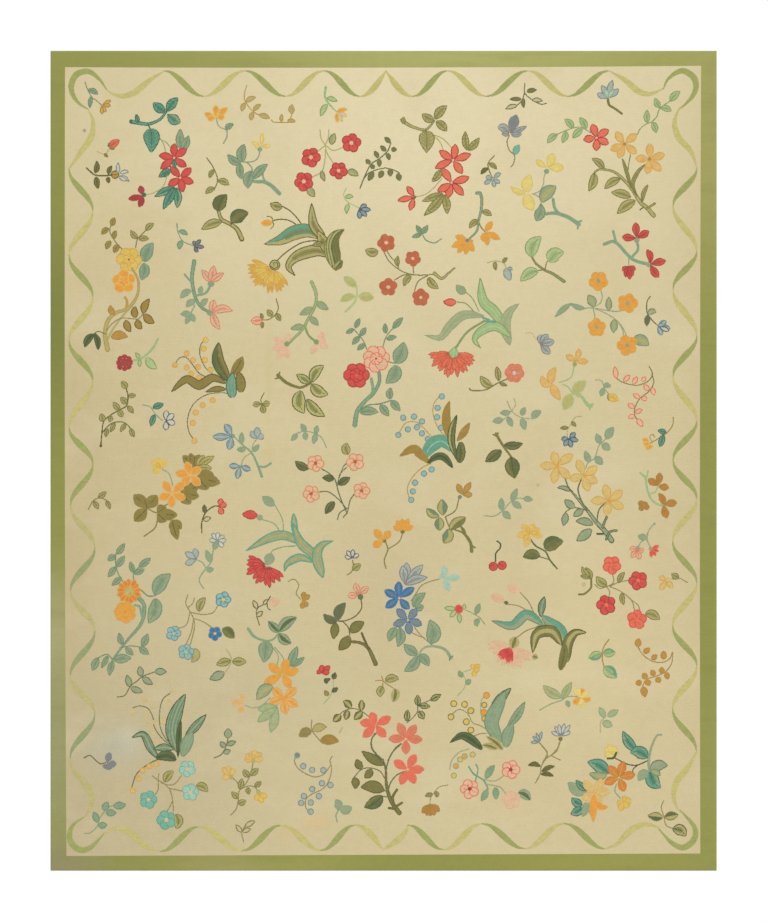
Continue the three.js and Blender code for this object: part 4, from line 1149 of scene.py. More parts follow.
spray("pinkFlowerDarkBranch", lightOlive="olive", greyTeal="greyGreen")
stems("darkOlive", (1.2, 360.9, 599.5, 361.3, 607.8, 354.6, 616.1, 344.7, 620.4, 338, 620.7),
    (1.2, 342.7, 621.1, 348, 626.9, 349.7, 634.3))
branch("darkOlive", "olive", 2.4, 349.7, 641.3, 359.6, 642.3, 367.9, 647.6, 375.4, 663.3, endWidth=4.6)
stems("darkOlive", (2.2, 361.6, 632.7, 364.6, 640.1, 368.7, 648.4))
leaves("duskLeaf", (10.6, 337.2, 620.2, 333.1, 609.5, 345.5, 602.2), (8.4, 337.2, 621.1, 326.4, 622.7,
    323.1, 613.6))
leaves("oliveDeep", (9, 335.6, 621.9, 333.1, 639), (11, 350.5, 632.7, 351.3, 626, 364.2, 621.4),
    (11, 349.3, 635.2, 348, 642.6, 338.4, 649.9))
petals("pinkLily", 7, 359.3, 594.2, 347.2, 595.4, 354.6, 582.6, 368.2, 586.2)
dot("greyTeal", 2.8, (360.3, 596.5))

spray("redFlowerTwigTip")
petals("red", 6.4, 321.5, 673.3, 316.8, 669.5, 321.5, 664.2, 329.8, 665.2, 329.4, 670.5)
leaves("greenOlive", (6, 328.1, 679.9, 323.4, 680.8))
stems("freshGreen", (1, 323.4, 703.6, 329.8, 695.7, 333.1, 687.4, 333.1, 679.9))
leaves("greenOlive", (5.4, 332.7, 679.1, 335.1, 671.8), (5, 331.4, 691.5, 338, 687.1))
leaves("lightOlive", (5, 328.4, 695.4, 324.1, 690))
leaves("greenOlive", (4, 323.4, 680.8, 330.7, 678.3))

spray("oliveThreeLeavesCut")
stems("bronze", (1, 375.4, 680.4, 382, 679.9, 386.1, 683.3, 392.8, 687.4), (1, 381.5, 676.1, 382.8, 680.8,
    382.5, 686.6))
leaves("lightOlive", (8.6, 384.8, 680.8, 389.5, 674.1, 399.1, 678.1), (8.4, 382.8, 685.7, 377.8, 689.1,
    379.8, 696.7))
leaves("oliveHeart", (9, 394.4, 687.7, 399.4, 692.4, 392.8, 702))

spray("redBerryGreenLeaves")
stems("leafGreen", (0.9, 465.7, 609.8, 472.4, 612.8, 479, 616.9, 484.8, 624))
dot("coral", 4.6, (458.4, 608.8))
dot("red", 3.6, (458.4, 608.8))
leaves("fresh", (5.4, 455, 608.6, 443.8, 607.5), (5.4, 455.8, 610.3, 449.5, 617.1),
    (5.4, 458.3, 612.8, 459.8, 623.1), (4.4, 463.7, 609.5, 464.7, 603.2))
leaves("leafTeal", (6, 475.4, 614.1, 479.7, 602.8), (6, 479, 618.1, 472.4, 621.9, 477, 626.4))

spray("yellowFlowerTwigGrey")
stems("sageGrey", (1, 457.4, 695.4, 464.1, 687.4, 465.4, 679.1, 462.4, 672.5, 470.7, 669.2))
leaves("leafTeal", (5.6, 462.4, 677.1, 458.4, 670.1), (6, 465.4, 684.1, 470.7, 678.8))
petals("yellow", 6, 472.7, 669.5, 472.7, 663.2, 480, 664.2, 479.7, 669.2, 475.7, 676.1)

spray("yellowOrangeBells")
stems("oliveStem", (0.9, 491.4, 732.2, 480.7, 725.5, 472.4, 722.2, 467.4, 713.1, 459.1, 709, 452.5, 713.1))
stems("greyTeal", (0.9, 489.8, 731.3, 484, 722.2, 480.7, 712.3, 481, 700.7, 484.8, 695.7))
stems("oliveStem", (1, 493.9, 733, 482.3, 733, 470.7, 736.3))
berries("yellowOlive", 3.4, 450.8, 716.4, 453.5, 703.3, 464.4, 704, 470.7, 710.3, 466.1, 721.4, 470.7,
    729.7)
berries("orangeBell", 3.4, 486.3, 694.9, 483.6, 711.9)
berries("yellowOlive", 3, 484, 704.6, 484.3, 718.1)
leaves("duskBlade", (10, 489.3, 715.6, 494.8, 699, 510.8, 687.4), fat=0.5, blunt=0.7)
leaves("greyTealBlade", (15, 500.6, 742.1, 491.4, 722.2, 498.9, 704, 505.5, 690.7), fat=0.45, blunt=0.6)
leaves("greyTealRibbed", (8.6, 506.4, 728, 518.8, 717.2, 525.1, 701), fat=0.5)
leaves("greyTealBlade", (12, 505.5, 747.1, 503.9, 732.2, 512.2, 723.9), fat=0.5, blunt=0.5)
leaves("oliveHeart", (7.4, 503.1, 749.6, 495.6, 738.8, 485.6, 735.5), (6.4, 497.2, 748.8, 489, 743, 481.5,
    744.6), fat=0.45)
leaves("bottle", (9.4, 482.3, 749.1, 470.7, 738.8, 460.8, 735.5, 449.2, 742.5), fat=0.4)

spray("redPinkStars")
stems("greyGreen", (1, 367.9, 715.6, 359.6, 709.8, 351.3, 708.1, 343.8, 710.6, 338, 715.6),
    (1, 406.9, 722.2, 412.7, 717.2, 417.6, 710.6, 418, 705.6, 427.6, 700.7, 435.9, 697.3))
leaves("oliveDeep", (8, 351, 707.6, 348, 701.5, 343, 700.3), (7, 361.3, 710.3, 361.6, 699),
    (7, 348, 709.8, 345.5, 719.7), (8, 362.1, 710.9, 353.8, 719.2), (8, 340.5, 713.9, 332.7, 721.2))
leaves("duskOlive", (6.4, 406.9, 721.4, 407.4, 709), (7.4, 418.5, 710.6, 423.9, 718.9),
    (6.6, 417.6, 705.6, 417.6, 694), (6.6, 418.5, 704.8, 430.2, 706.6), (6.6, 430.1, 700.3, 441.2, 694))
stems("greyGreen", (1.4, 376.5, 732.2, 371.5, 738.8, 372, 748.8, 381.2, 759.5),
    (1.4, 401.1, 743, 394.4, 748.8, 387.8, 760))
petals("deepCoralStar", 9, 375.4, 724.7, 370.9, 711.4, 390.8, 716.3, 385.8, 736.8, 362.6, 737.1, 359.3,
    721.9)
petals("pinkStar", 9, 405.7, 738.5, 398.1, 722.2, 416, 724.2, 422.6, 739.1, 405.7, 754.1, 388.1, 738.5,
    eye="palePink")

spray("fadedOliveLeaves")
stems("oliveStem", (1, 311.5, 719.7, 311.8, 729.7, 319.8, 740.5))
leaves("khakiLeaf", (10, 311.8, 730.8, 304.9, 728, 298.6, 736.2))
leaves("bronzeOpen", (9, 312.3, 730.5, 318.1, 723.9, 326.8, 726.2))
leaves("bronzeFull", (10.6, 319.8, 740.8, 328.1, 735.5, 339, 740.8))
stems("lightOlive", (1.2, 339.4, 732.2, 342.2, 727.2))

spray("pinkFlowersGreyTwig")
stems("greyTeal", (1.1, 646.8, 533.2, 647.6, 541.5, 650.9, 547.3), (1, 646.3, 539, 641, 541.5, 637.6,
    547.3))
dot("greyTeal", 2.2, (637.3, 547.8), (650.6, 548.1))
petals("pinkLily", 6, 637.3, 548.9, 629.4, 548.4, 630.7, 557.2, 639.6, 559.4, 643.9, 551.1)
petals("redSmall", 4, 651.2, 548.1, 651.2, 557.4, 655.9, 555.7, 658.9, 551.1, 658.9, 545.1)

spray("yellowFlowerDarkLeaves", bottle="forest")
stems("bottle", (1.7, 529.5, 538.1, 535.7, 545.6, 545.1, 551.1, 549.8, 559.7, 556.7, 568),
    (1.1, 539.8, 556.4, 548.1, 558.9))
petals("yellowPink", 7, 529.5, 533.2, 521.6, 523.5, 534, 522.9, 540.1, 528.2, 542.8, 535.7, 525.2, 546.8,
    516.3, 535.2)
petals("yellow", 5, 529.5, 533.2, 526.5, 526.5, 537.3, 531.5, 523.2, 539.8)
leaves("greenOlive", (15, 545.1, 549.8, 546.4, 538.1, 563.3, 540.6), fat=0.42)
leaves("greenOlive", (10.8, 540.1, 556.1, 533.2, 548.1, 522.4, 556.7))

spray("redRoundFlowersOlive", pink="coral", palePink="coral")
stems("oliveStem", (1, 594.5, 584.2, 599.5, 587.9, 606.1, 586.2, 612.8, 582.9, 613.6, 577.9, 611.4, 573),
    (1, 609.5, 586.2, 617.7, 582.1, 629.4, 579.6), (1, 606.1, 586.2, 609.5, 591.2, 608.6, 596.2),
    (1, 609.5, 586.2, 619.4, 590.4, 631, 599.5, 634.3, 609.5), (1, 631, 599.5, 637.6, 604.5, 639.6, 609.8))
leaves("lightOlive", (9, 607, 585.4, 597.8, 582.9, 595.9, 576), (6, 618.1, 582.9, 618.6, 574.6, 624.7,
    571.3), (6, 621.9, 592, 620.2, 599.5, 623.5, 604.8), (10, 644.6, 613.6, 650.9, 608.6, 660, 619.1))
stems("olive", (2, 578.8, 593.9, 584.6, 593.2, 590.4, 587.9, 591.2, 582.9, 590.9, 577.9))
leaves("oliveBright", (6, 590.9, 579.6, 592, 571.3, 585.4, 566.7), (6, 589.6, 577.9, 582.9, 573, 581.3,
    566), (5, 589.6, 577.6, 579.6, 575.5))
stems("lightOlive", (0.8, 582.9, 585.4, 584.9, 584.9, 584.2, 582.6, 582.3, 583.6, 583.3, 586.2))
rounds("redRing", "palePink", (611.8, 564.7, 9))
rounds("redVeined", "palePink", (638, 580.1, 9.4), (606.1, 604.5, 9.8))
rounds("redRing", "palePink", (636.7, 619.1, 9.6))

spray("yellowFlowerSmall")
stems("oliveStem", (0.9, 687.1, 582.1, 679.1, 577.9, 670.8, 578.8))
leaves("lightOlive", (6.6, 678.8, 577.9, 671.1, 573))
petals("paleStar", 6, 665.8, 579.6, 658.9, 576.3, 660, 589.9, 672.8, 587.6, 669.2, 580.4)

spray("fringedPinkFlower")
stems("oliveStem", (1, 534, 613.1, 528.2, 601.2, 519.9, 592), (1, 531.5, 614.4, 519.9, 606.1, 506.6,
    603.6), (1.1, 535.7, 626.9, 524.9, 631, 513.3, 640.1))
leaves("palePink", (9, 519.1, 591.2, 507.5, 584.2))
leaves("fadedPink", (9, 503.6, 601.2, 490.4, 594.5))
leaves("greyGreenLeaf", (4, 508.3, 602.8, 503.6, 601.5))
leaves("duskBlade", (8, 540.6, 616.9, 539, 607.8, 544.4, 595.9), fat=0.5)
leaves("tealTanBlade", (10.6, 543.4, 624.7, 526.5, 614.4, 511.6, 625.2, 490.9, 620.2), fat=0.42, blunt=0.7)
leaves("tealTanBlade", (13, 563.8, 650.1, 561.4, 632.7, 549.8, 622.7, 541.1, 614.4), fat=0.55, blunt=0.7)
leaves("tealStriped", (5, 548.4, 629, 535.7, 626.4), fat=0.5)
leaves("oliveDeep", (12, 561.4, 644.3, 551.4, 631, 536.5, 634.3, 532.3, 652.6),
    (11, 567.2, 661.7, 567.2, 644.3, 574.6, 632.7, 586.6, 632), fat=0.42, blunt=0.7)
leaves("oliveFull", (9, 560, 670, 566.3, 655.9, 564.7, 642.6), fat=0.5, blunt=0.5)
leaves("oliveHeart", (6, 531.5, 655.1, 538.1, 657.5))
fan("fringe", (512.4, 644.6), 24, 250, 160, 17, 3.4)
fan("redFringe", (511.6, 645.9), 17, 238, 66, 9, 2.6)
leaves("oliveHeart", (10.4, 515.8, 636.3, 511.9, 648.4))

spray("freshThreeLeaf", 0, 0)
stems("bronze", (1.1, 609, 639.3, 603.3, 648.1, 602.3, 658.1, 604, 666.7))
leaves("freshHalf", (9.5, 601.9, 653.1, 588.3, 658.1), (9.5, 602.9, 653.1, 615.7, 652.4),
    (12, 603.7, 666.7, 616.9, 678.1))

spray("ochreOpenArcs")
stems("bronze", (1, 637.6, 645.9, 642.6, 654.2, 652.6, 660.9, 663.3, 661.7, 670, 657.5, 672.1, 651.7),
    (1, 672.5, 652.6, 671.6, 662.5, 665.8, 670.8, 655.9, 675.8, 647.6, 678.3, 643, 684.1, 642.6, 689.9))
leaves("rustLeaf", (7, 637.6, 646.8, 638.5, 637.6), (6, 643, 652.6, 650.1, 647.6),
    (6, 651.2, 659.2, 657.2, 654.2), (6.6, 663.3, 659.2, 663.3, 650.1), (6, 665.8, 671.6, 667.8, 679.1),
    (6, 661.7, 673.3, 660.9, 666.3), (6, 654.2, 675.8, 651.2, 669.2), (6.4, 655.9, 677.1, 660, 682.4),
    (6.4, 645.9, 678.8, 642.6, 672.5), (6.6, 646.8, 679.1, 649.3, 685.7), (6.4, 641.8, 683.3, 635.2,
    681.6), (7.4, 643, 685.7, 645.1, 697))

spray("wingedLeafFlower")
stems("greyTeal", (1.2, 539.5, 709.8, 549.8, 704, 561.4, 699.8, 568, 696, 579.6, 696.5))
leaves("tealTanOpen", (10, 561.7, 697.3, 549.8, 695.7, 542.5, 684.9), (8, 561.7, 698.7, 566.3, 690.7,
    571.6, 681.4))
leaves("greyLeaf", (5, 566.3, 699.8, 569.3, 707))
petals("orangeStar", 7, 581.3, 697.3, 582.1, 687.4, 572.6, 703.2, 590.9, 699.8)
petals("paleYellowPetal", 7, 581.3, 697.3, 574.6, 687.4, 588.7, 692.4, 581.6, 707.6)

spray("paleGreyTrefoil")
stems("sageGrey", (1, 600.3, 731.8, 600.3, 722.2, 604.5, 717.2))
leaves("seaPale", (6.6, 604.8, 717.6, 598.7, 706.5), (7, 607, 715.9, 618.6, 709.3),
    (8, 602, 721.4, 612.8, 725.5))

spray("cornflowers", 0, 0)
dot("olive", 2.2, (560.4, 738.9))
petals("openPetal", 4.5, 560.9, 736.3, 551.1, 731.7, 554.7, 726, 559, 723.9, 564.7, 723.1, 570.4, 724.6,
    571.1, 731.7)
petals("paleBlue", 3.6, 539.7, 742.4, 530.4, 742.4, 532.6, 736, 536, 732.5, 541.9, 731)
stems("oliveStem", (1.1, 560.4, 741, 557.6, 748.1, 551.1, 755.3, 545.4, 758.1, 542.6, 763.1),
    (1.1, 539.7, 743.1, 546.9, 752.4, 545.4, 758.1))

spray("darkBlades")
stems("greyGreen", (1.2, 175.3, 758.1, 160.5, 758.3, 147.1, 764.4, 136.4, 773.7, 131.7, 786.1))
berries("apricot", 3, 156.2, 763.7, 149.1, 766, 142.5, 770, 138.4, 778, 132.4, 790.1)
leaves("duskBlade", (8.6, 158.5, 758.7, 150.5, 747.6, 143.1, 734.2, 131.5, 737.1), fat=0.45, blunt=0.7)
leaves("duskBlade", (8, 174.6, 749, 164.5, 742.9, 153.2, 748.6), fat=0.5)
leaves("bottle", (10.6, 176.3, 759.7, 167.2, 747, 155.4, 757.7), fat=0.5, blunt=0.6)
leaves("duskBlade", (14.6, 176.9, 752.3, 171.9, 730.9, 176.6, 710.8, 185.3, 693.4), fat=0.5, blunt=0.7)
leaves("bottle", (6, 177.7, 757.7, 176.9, 737.6, 180.6, 717.5), fat=0.5)
leaves("duskBlade", (8.8, 183.6, 738.3, 192.7, 730.2, 206.3, 713.7), fat=0.5)
leaves("greyTealBlade", (12, 182.2, 756.3, 184.6, 742.9, 192, 731.6), fat=0.5, blunt=0.6)

spray("purpleFlowerWavyStem")
stems("greyGreen", (1.2, 83.9, 757.4, 89.8, 755, 96.2, 760.6, 100.5, 763.3, 105.6, 762.2))
petals("lilyGrey", 7, 107, 763.3, 109.6, 751.8, 116.6, 763.3, 111.2, 768.9, 104.6, 768.7)

spray("turquoiseFlowers", coral="palePink")
stems("oliveStem", (1, 152.2, 775.4, 157.9, 779.8, 163.2, 782.5, 169.2, 787.9, 175.3, 789.1, 183.3, 791.2),
    (1, 158.5, 773.5, 157.9, 781.8, 158.1, 788.5, 155.2, 794.1), (1, 161.2, 782.5, 168.6, 784.7, 175.3,
    782.9, 181.3, 775.1), (1, 169.2, 787.9, 171.9, 796.5, 173.4, 811.5), (1, 171.9, 801.2, 169.2, 807.2,
    165.9, 811.9))
leaves("lightOlive", (8.8, 164.5, 782, 163.9, 773.7, 173.5, 770.5), (8.8, 195.6, 785.1, 204.1, 781.8,
    207.7, 791.4), (10, 175, 813.7, 184.4, 817.9, 176.3, 828.9))
rounds("aquaRound", "coral", (187, 768.4, 8.2), (190.3, 792, 8.4))
rounds("turquoiseRound", "coral", (148.2, 799.2, 8.8), (166.2, 819.5, 9.4))

spray("tealTwigLowerLeft")
stems("seaTeal", (1.1, 84.2, 833.3, 90.6, 832, 96.9, 826, 99.6, 817.9, 104.3, 811.2, 109.6, 806.2, 115,
    805.1))
leaves("seaTeal", (7, 97.9, 822.2, 93.3, 811.2), (7, 97.9, 825.4, 107.2, 824.6),
    (7.4, 103.2, 810.2, 107.6, 801.1), (7.6, 105.4, 812, 116.3, 812.6), (8, 113, 805.4, 126, 804.3))

spray("darkOutlineTwig")
stems("greyGreen", (1.1, 214.1, 757.4, 220.8, 754.3, 225.5, 747, 227.8, 738.3))
leaves("duskLeaf", (8.4, 227.8, 738.1, 228, 727.7), (5.8, 225.6, 747.2, 219.7, 741.3),
    (5.8, 226.4, 744.6, 236.1, 740.8), (5.8, 223.2, 753.1, 230.7, 749.4))

spray("paleYellowFlowersTwig")
petals("paleStar", 6.4, 230.8, 776.2, 221.6, 776.7, 222.1, 767, 227.2, 765.4, 233.5, 767.9)
stems("oliveStem", (1, 231.2, 776.4, 236.9, 781.8, 238.7, 787.1), (1.1, 230.7, 814.6, 236, 808.6, 238,
    800.5, 239.1, 790.5, 246.1, 782.5, 250.8, 772.4, 253, 761), (1, 240, 789.1, 247.4, 785.8, 254.1, 786.5,
    258.4, 791.4))
leaves("lightOlive", (6.8, 249, 777, 242.9, 768.9), (6.8, 250.4, 775.4, 258.4, 767.9),
    (6.4, 239.4, 789.1, 241.8, 777.5), (6.4, 238.3, 798.5, 231.1, 791.4), (6.6, 237.8, 803.5, 246.1,
    800.3), (5.6, 247.7, 786.9, 248.7, 794.1), (5.8, 254.4, 786.5, 261.3, 781))
dot("lightOlive", 2.2, (253, 760.6), (258.1, 791.4), (231.1, 776.7))
petals("paleStar", 6.8, 253, 759.3, 243.9, 759, 245.3, 753.9, 250.1, 751, 255.7, 749.6, 261.6, 752.3,
    263.2, 757.9)
petals("yellow", 6.4, 258.4, 792.8, 256, 800.5, 262.4, 802.7, 267.2, 796.8)

spray("oliveOutlineTwig")
stems("oliveStem", (1, 243.4, 841.4, 241.5, 832, 244.5, 826.6, 248.7, 822.6))
leaves("oliveOpen", (5, 241.5, 832, 235.4, 824.1), (5.6, 244.5, 826.6, 255.2, 820.4),
    (5.2, 242.1, 831.3, 250.9, 828.4))

spray("blueBeadArcs")
stems("oliveStem", (1, 332, 756.1, 329.8, 760.4, 331.4, 768.4, 328.7, 780.4, 322.4, 788.5, 311.7, 793.8,
    306.1, 798.5, 305.3, 805.9, 309, 811.9), (1, 329.8, 765.7, 323.7, 773.7, 315.7, 776.4, 307.7, 774.4,
    298.3, 768.4, 294.3, 761, 295.6, 756.3))
berries("paleBlue", 3.2, 303, 765.7, 312, 769.5, 323.1, 769.7, 321.7, 782.9, 330.2, 784.7, 312, 788.7,
    303.7, 795.8, 318.7, 795.8, 301, 802.5, 310.6, 802.1, 310.4, 811.2)
berries("tealBead", 3, 297, 755)

spray("seaTrefoilSmall")
stems("seaTeal", (1.2, 337.1, 821.3, 335.8, 815.5, 337.9, 810.2))
leaves("greyLeaf", (8.6, 338.7, 810.2, 341.2, 803.2, 335.5, 798.7), (9.6, 339.5, 809.4, 346.5, 812.6,
    351.9, 806.4))

spray("redPinkStarsLower", lightOlive="olive")
branch("darkOlive", "olive", 1.6, 382.7, 759, 385.4, 768.4, 386, 781.8, 388.7, 795.2, 393.7, 805.2, 399,
    812.3, endWidth=5)
stems("greyGreen", (1.3, 374.6, 732.9, 371.3, 740.3, 373, 749.6, 383.3, 760.4),
    (1.3, 400.8, 743.6, 392, 752.3, 387.4, 763, 385.6, 773.7), (1.3, 404.1, 771.1, 396.1, 775.1, 390,
    783.1, 388, 791.8), (1.1, 386, 780.4, 380, 771.1, 370.6, 767.7, 361.2, 769.1, 353.9, 776.7),
    (1.1, 384, 790.1, 387.4, 791.4), (1.1, 382.4, 795.8, 388.3, 796.8))
branch("darkOlive", "olive", 2.6, 393.7, 804.5, 392.6, 796.5, 396.6, 789.5)
branch("darkOlive", "olive", 2.4, 388.7, 807.6, 395, 808.6)
branch("darkOlive", "olive", 2.4, 396.1, 805.9, 401.7, 802.4)
leaves("oliveDeep", (9.6, 384, 764.6, 374, 761.7, 361, 750.4), (8.4, 362.6, 767.7, 356.6, 767, 356.4,
    758.7), (8.4, 370.9, 768.1, 372, 773.7, 364.2, 777.8), (8.4, 353.9, 776.7, 357.9, 781.8, 354.8, 788.7),
    (12.6, 384.3, 790.4, 372, 780.4, 360.2, 786.7))
leaves("greenOlive", (12.4, 382.7, 795.4, 377.3, 804.5, 363.9, 807))
petals("deepCoralStar", 9, 407.4, 769.1, 415.9, 753.9, 424.2, 768.7, 414.8, 783.4, 400.6, 784.5, 393.7,
    759.7, eye="palePink")

spray("brownBellFlower")
stems("oliveStem", (0.9, 447.9, 784.5, 438.8, 786.7, 433.5, 792.8, 430.3, 797.9, 429.7, 804.5))
leaves("lightOlive", (4.8, 432.4, 793.3, 424.6, 796), (5, 435.1, 790.9, 438.8, 793.8, 436.4, 797.3))
petals("rustPetal", 7, 430.1, 803.5, 421.7, 812.9, 426.1, 815.5, 430.1, 815.8, 434.6, 815.3, 439.6, 811.2)

spray("yellowOrangeBellsLower", 0, 0)
stems("greyTeal", (1, 469.1, 748.9, 459.1, 752.4, 452, 760.3, 449.6, 769.6))
berries("tealYellow", 3, 472.7, 754.6, 460.1, 759.6, 453.9, 775.6)
berries("tealOrange", 3, 464.6, 756.3, 456, 766)

spray("pinkRoundTealStems")
stems("teal", (1.6, 468.6, 766.4, 473.7, 773.7, 482, 778.8, 486, 783.8, 487.7, 788.7),
    (1.4, 475.7, 764.1, 477.7, 768.4, 476.3, 776.4, 473.9, 784.2))
stems("greyTeal", (1.1, 481.7, 778.8, 492.4, 780.7, 498, 779.1, 503.8, 775.1),
    (1.1, 485.7, 783.8, 493.7, 785.1, 500.4, 787.1, 505.1, 792.8))
leaves("leafTeal", (7.8, 485.4, 778.6, 489.1, 768.4, 494.5, 764.4), (6.8, 487.3, 788.7, 485.7, 795.2,
    480.8, 800.8), (7, 495.4, 786.6, 495.9, 799.5))
leaves("forestHeart", (10, 517.6, 792, 525.2, 789.1, 530.6, 799.9))
rounds("pinkRing", "deepRed", (510.5, 769.1, 9), (469.4, 788.5, 9.4))
rounds("fadedRound", "fadedPink", (511.2, 799.5, 9))

spray("cornflowerLeaves")
stems("oliveStem", (1.1, 559.4, 741.6, 556, 751, 546, 758.3, 541.3, 765.7, 539.9, 773.7, 535.3, 782.5),
    (1.1, 539.3, 742.3, 544.6, 748.3, 547.3, 753, 545.3, 759), (1, 551.3, 755.3, 560.2, 759.7))
leaves("olive", (5, 540.6, 766, 534.6, 759, 527.6, 765.2), (5, 541.3, 771.3, 546, 765, 555.1, 765.7),
    (5, 540.4, 774, 546.6, 770, 553.7, 775.9))

spray("orangeStarYellowLily")
stems("greyTeal", (1.8, 661.1, 734.6, 656.7, 735.2, 652.1, 744.3, 649.2, 755, 648.4, 763, 649.7, 770),
    endWidth=3.2)
stems("bottle", (1.2, 647, 760.4, 637, 764.6, 627, 763.7, 614.9, 757.7), (1.1, 637, 765, 633, 768.7, 632.5,
    772.7))
leaves("tealDarkHalf", (10.4, 636.6, 751, 625.6, 744.3, 622.4, 730.6), (13, 647.9, 757.4, 639, 744.3,
    629.6, 751.8))
leaves("duskLeaf", (11.6, 649.7, 769.5, 659.1, 759, 667.7, 765.2))
leaves("tealDarkHalf", (14, 649.5, 771.1, 648.4, 784.5, 660.4, 787.7))
leaves("greyTan", (7, 650.5, 770, 659.1, 772.4, 660.4, 775.4))
leaves("greyLeaf", (9.6, 648.7, 771.1, 641.7, 769.7, 637.7, 780.4))
petals("paleYellow", 7, 614.6, 755, 604.5, 747.6, 608.7, 743.6, 613.8, 745.4, 615.7, 750.3, 603.9, 753.9)
stems("bottle", (2.2, 607.5, 757.9, 613.6, 757.4, 616, 752.3))
leaves("tealDarkHalf", (13.6, 609, 773.2, 600.2, 760.4, 587.2, 761.2))
leaves("greyTan", (9, 607.1, 774.8, 598.8, 779.8, 588.7, 772.9))
petals("orangeDeepStar", 8.8, 618.9, 777.1, 623.7, 760.6, 635.3, 773.7, 624, 791.2, 603.9, 783.4, 607.9,
    765.4, eye="yellow")
stems("seaTeal", (1.1, 616.2, 783.4, 614.9, 791.2, 620.3, 798.1))
petals("yellow", 7, 624, 801.2, 616.5, 803.9, 619.2, 810.6, 625.9, 795.4, 631.6, 800.5, 627.6, 807.9)
leaves("greyLeaf", (13, 587.3, 791.7, 574.7, 793.8, 567.5, 782))
leaves("tealDarkHalf", (7.4, 586.8, 790.4, 578.7, 785.8, 575.5, 779.4), (9, 582.5, 804.5, 574.7, 804.5,
    571.2, 797.3), (9.6, 583, 807.2, 577.4, 812.6, 570.2, 813.9))
leaves("greyLeaf", (7.6, 585.4, 801.6, 588.8, 808.6, 582.1, 816.6), (5.4, 588.9, 801.6, 592.1, 808.6,
    590.3, 815))
petals("apricotOpen", 9, 594.6, 792.5, 583, 780.2, 601.8, 778, 610.1, 791.2, 600.4, 802.4, 581.7, 798.7)
leaves("orangeFull", (8, 594.3, 793.3, 591.5, 808.6, 593.2, 822.2), (6.6, 595.1, 801.9, 600.2, 811.9,
    607.9, 806.4))

spray("oliveForestThreeLeaf")
stems("oliveStem", (1, 663.4, 800.3, 661.1, 807.2, 663.8, 816.3, 665.8, 824.6, 672.8, 828.4))
leaves("oliveForestHalf", (9.2, 662.9, 817.1, 647.3, 815.3), (9, 664.2, 816.9, 678.4, 814.2))
leaves("duskOlive", (11.6, 672.2, 828, 683.9, 825.3, 685.9, 835.9))


# The ribbon: a smooth band that turns over at each bend, wide on the slopes and pinched at the turns. Its
# half width grows from pinched to wide as sin(pi share)^1.3.
pinched, wide = 0.55, 3.1


def ribbon(wool, *row):
    line = smoothLine(pairs(row))
    block, x, y = blockNear(line, 2 * wide)
    share, far, _, _ = alongLine(line, x, y)
    sew(block, far <= pinched + (wide - pinched) * np.sin(np.pi * share) ** 1.3, wool)


# A run of the ribbon through its turning points, sage and hay in turn. Between two turns it eases as a
# cosine; beside a sharp turn it eases at the other end only. The longer step of the two, across or down, is
# the way that it runs.
def ribbonRun(wool, other, *row, sharp=None):
    turns = pairs(row)
    t = np.linspace(0, 1, 7)
    for k, (start, end) in enumerate(zip(turns[:-1], turns[1:])):
        ease = (1 - np.cos(np.pi * t)) / 2
        if sharp == k + 1:
            ease = 1 - np.cos(np.pi * t / 2)
        if sharp == k:
            ease = np.sin(np.pi * t / 2)
        across = abs(end[0] - start[0]) > abs(end[1] - start[1])
        x = start[0] + (end[0] - start[0]) * (t if across else ease)
        y = start[1] + (end[1] - start[1]) * (ease if across else t)
        ribbon((wool, other)[k % 2], *np.column_stack([x, y]).ravel())


spray("ochreFlowerCurledStem", 0, 0)
stems("oliveStem", (1.0, 288.3, 581.5, 291.3, 579.8, 294.2, 579.2, 296.6, 581, 298.5, 584.2, 298.5, 586.9,
    296.9, 590.4, 296.4, 594.1, 300.4, 599.2))
petals("bronze", 5.8, 303.2, 600.4, 304.2, 591.4, 310, 594.8, 307.6, 607, 301.8, 608.8)
dot("ochre", 2, (303.6, 600.4))

spray("ribbonTop", 0, 0)
ribbon("sage", 107, 90, 100, 80, 92, 73, 85, 71.4, 76, 75, 71.4, 85, 73, 95, 79, 103.4, 88.4, 109.4)
ribbon("hay", 107, 90, 113, 94, 123, 96, 135, 92, 150, 80, 164, 71)
ribbonRun("sage", "hay", 164, 70.7, 204, 96.4, 245, 70.7, 285.5, 96.4, 324, 70.7, 360, 96.4)
ribbonRun("hay", "hay", 360, 96.4, 386, 70.9, 413, 96.4, sharp=1)
ribbonRun("sage", "hay", 413, 96.4, 447.5, 70.7, 486.5, 96.4, 528, 70.7, 568, 96.4, 609, 70.7)
ribbon("hay", 609, 70.7, 625, 80, 638, 91, 648.4, 94, 656, 92, 663, 88.5)
ribbon("sage", 663.3, 89, 667.5, 79.8, 675.8, 73, 684, 71, 693.6, 77.4, 696, 87, 692.4, 96.4, 685.7, 103.8,
    679.4, 109.2)

spray("ribbonLeft", 0, 0)
ribbon("hay", 88, 109, 93, 121, 91, 137, 80, 153, 69, 169)
ribbonRun("sage", "hay", 69, 169, 93, 211, 69, 255.6, 93, 297, 69, 341, 93, 381, 69, 427.6, 93, 464)
ribbonRun("sage", "hay", 93, 464, 70.4, 505.5)

spray("ribbonLeftLower", 0, 0, sage="fadedSage", hay="fadedHay")
ribbonRun("hay", "sage", 70.4, 505.5, 95, 548, 70.4, 591, 95, 631, 70, 676, 95, 714, 70, 758)
ribbon("hay", 70, 760, 73.5, 771, 84, 782, 91, 795, 91.6, 804.5, 85.5, 816.6)

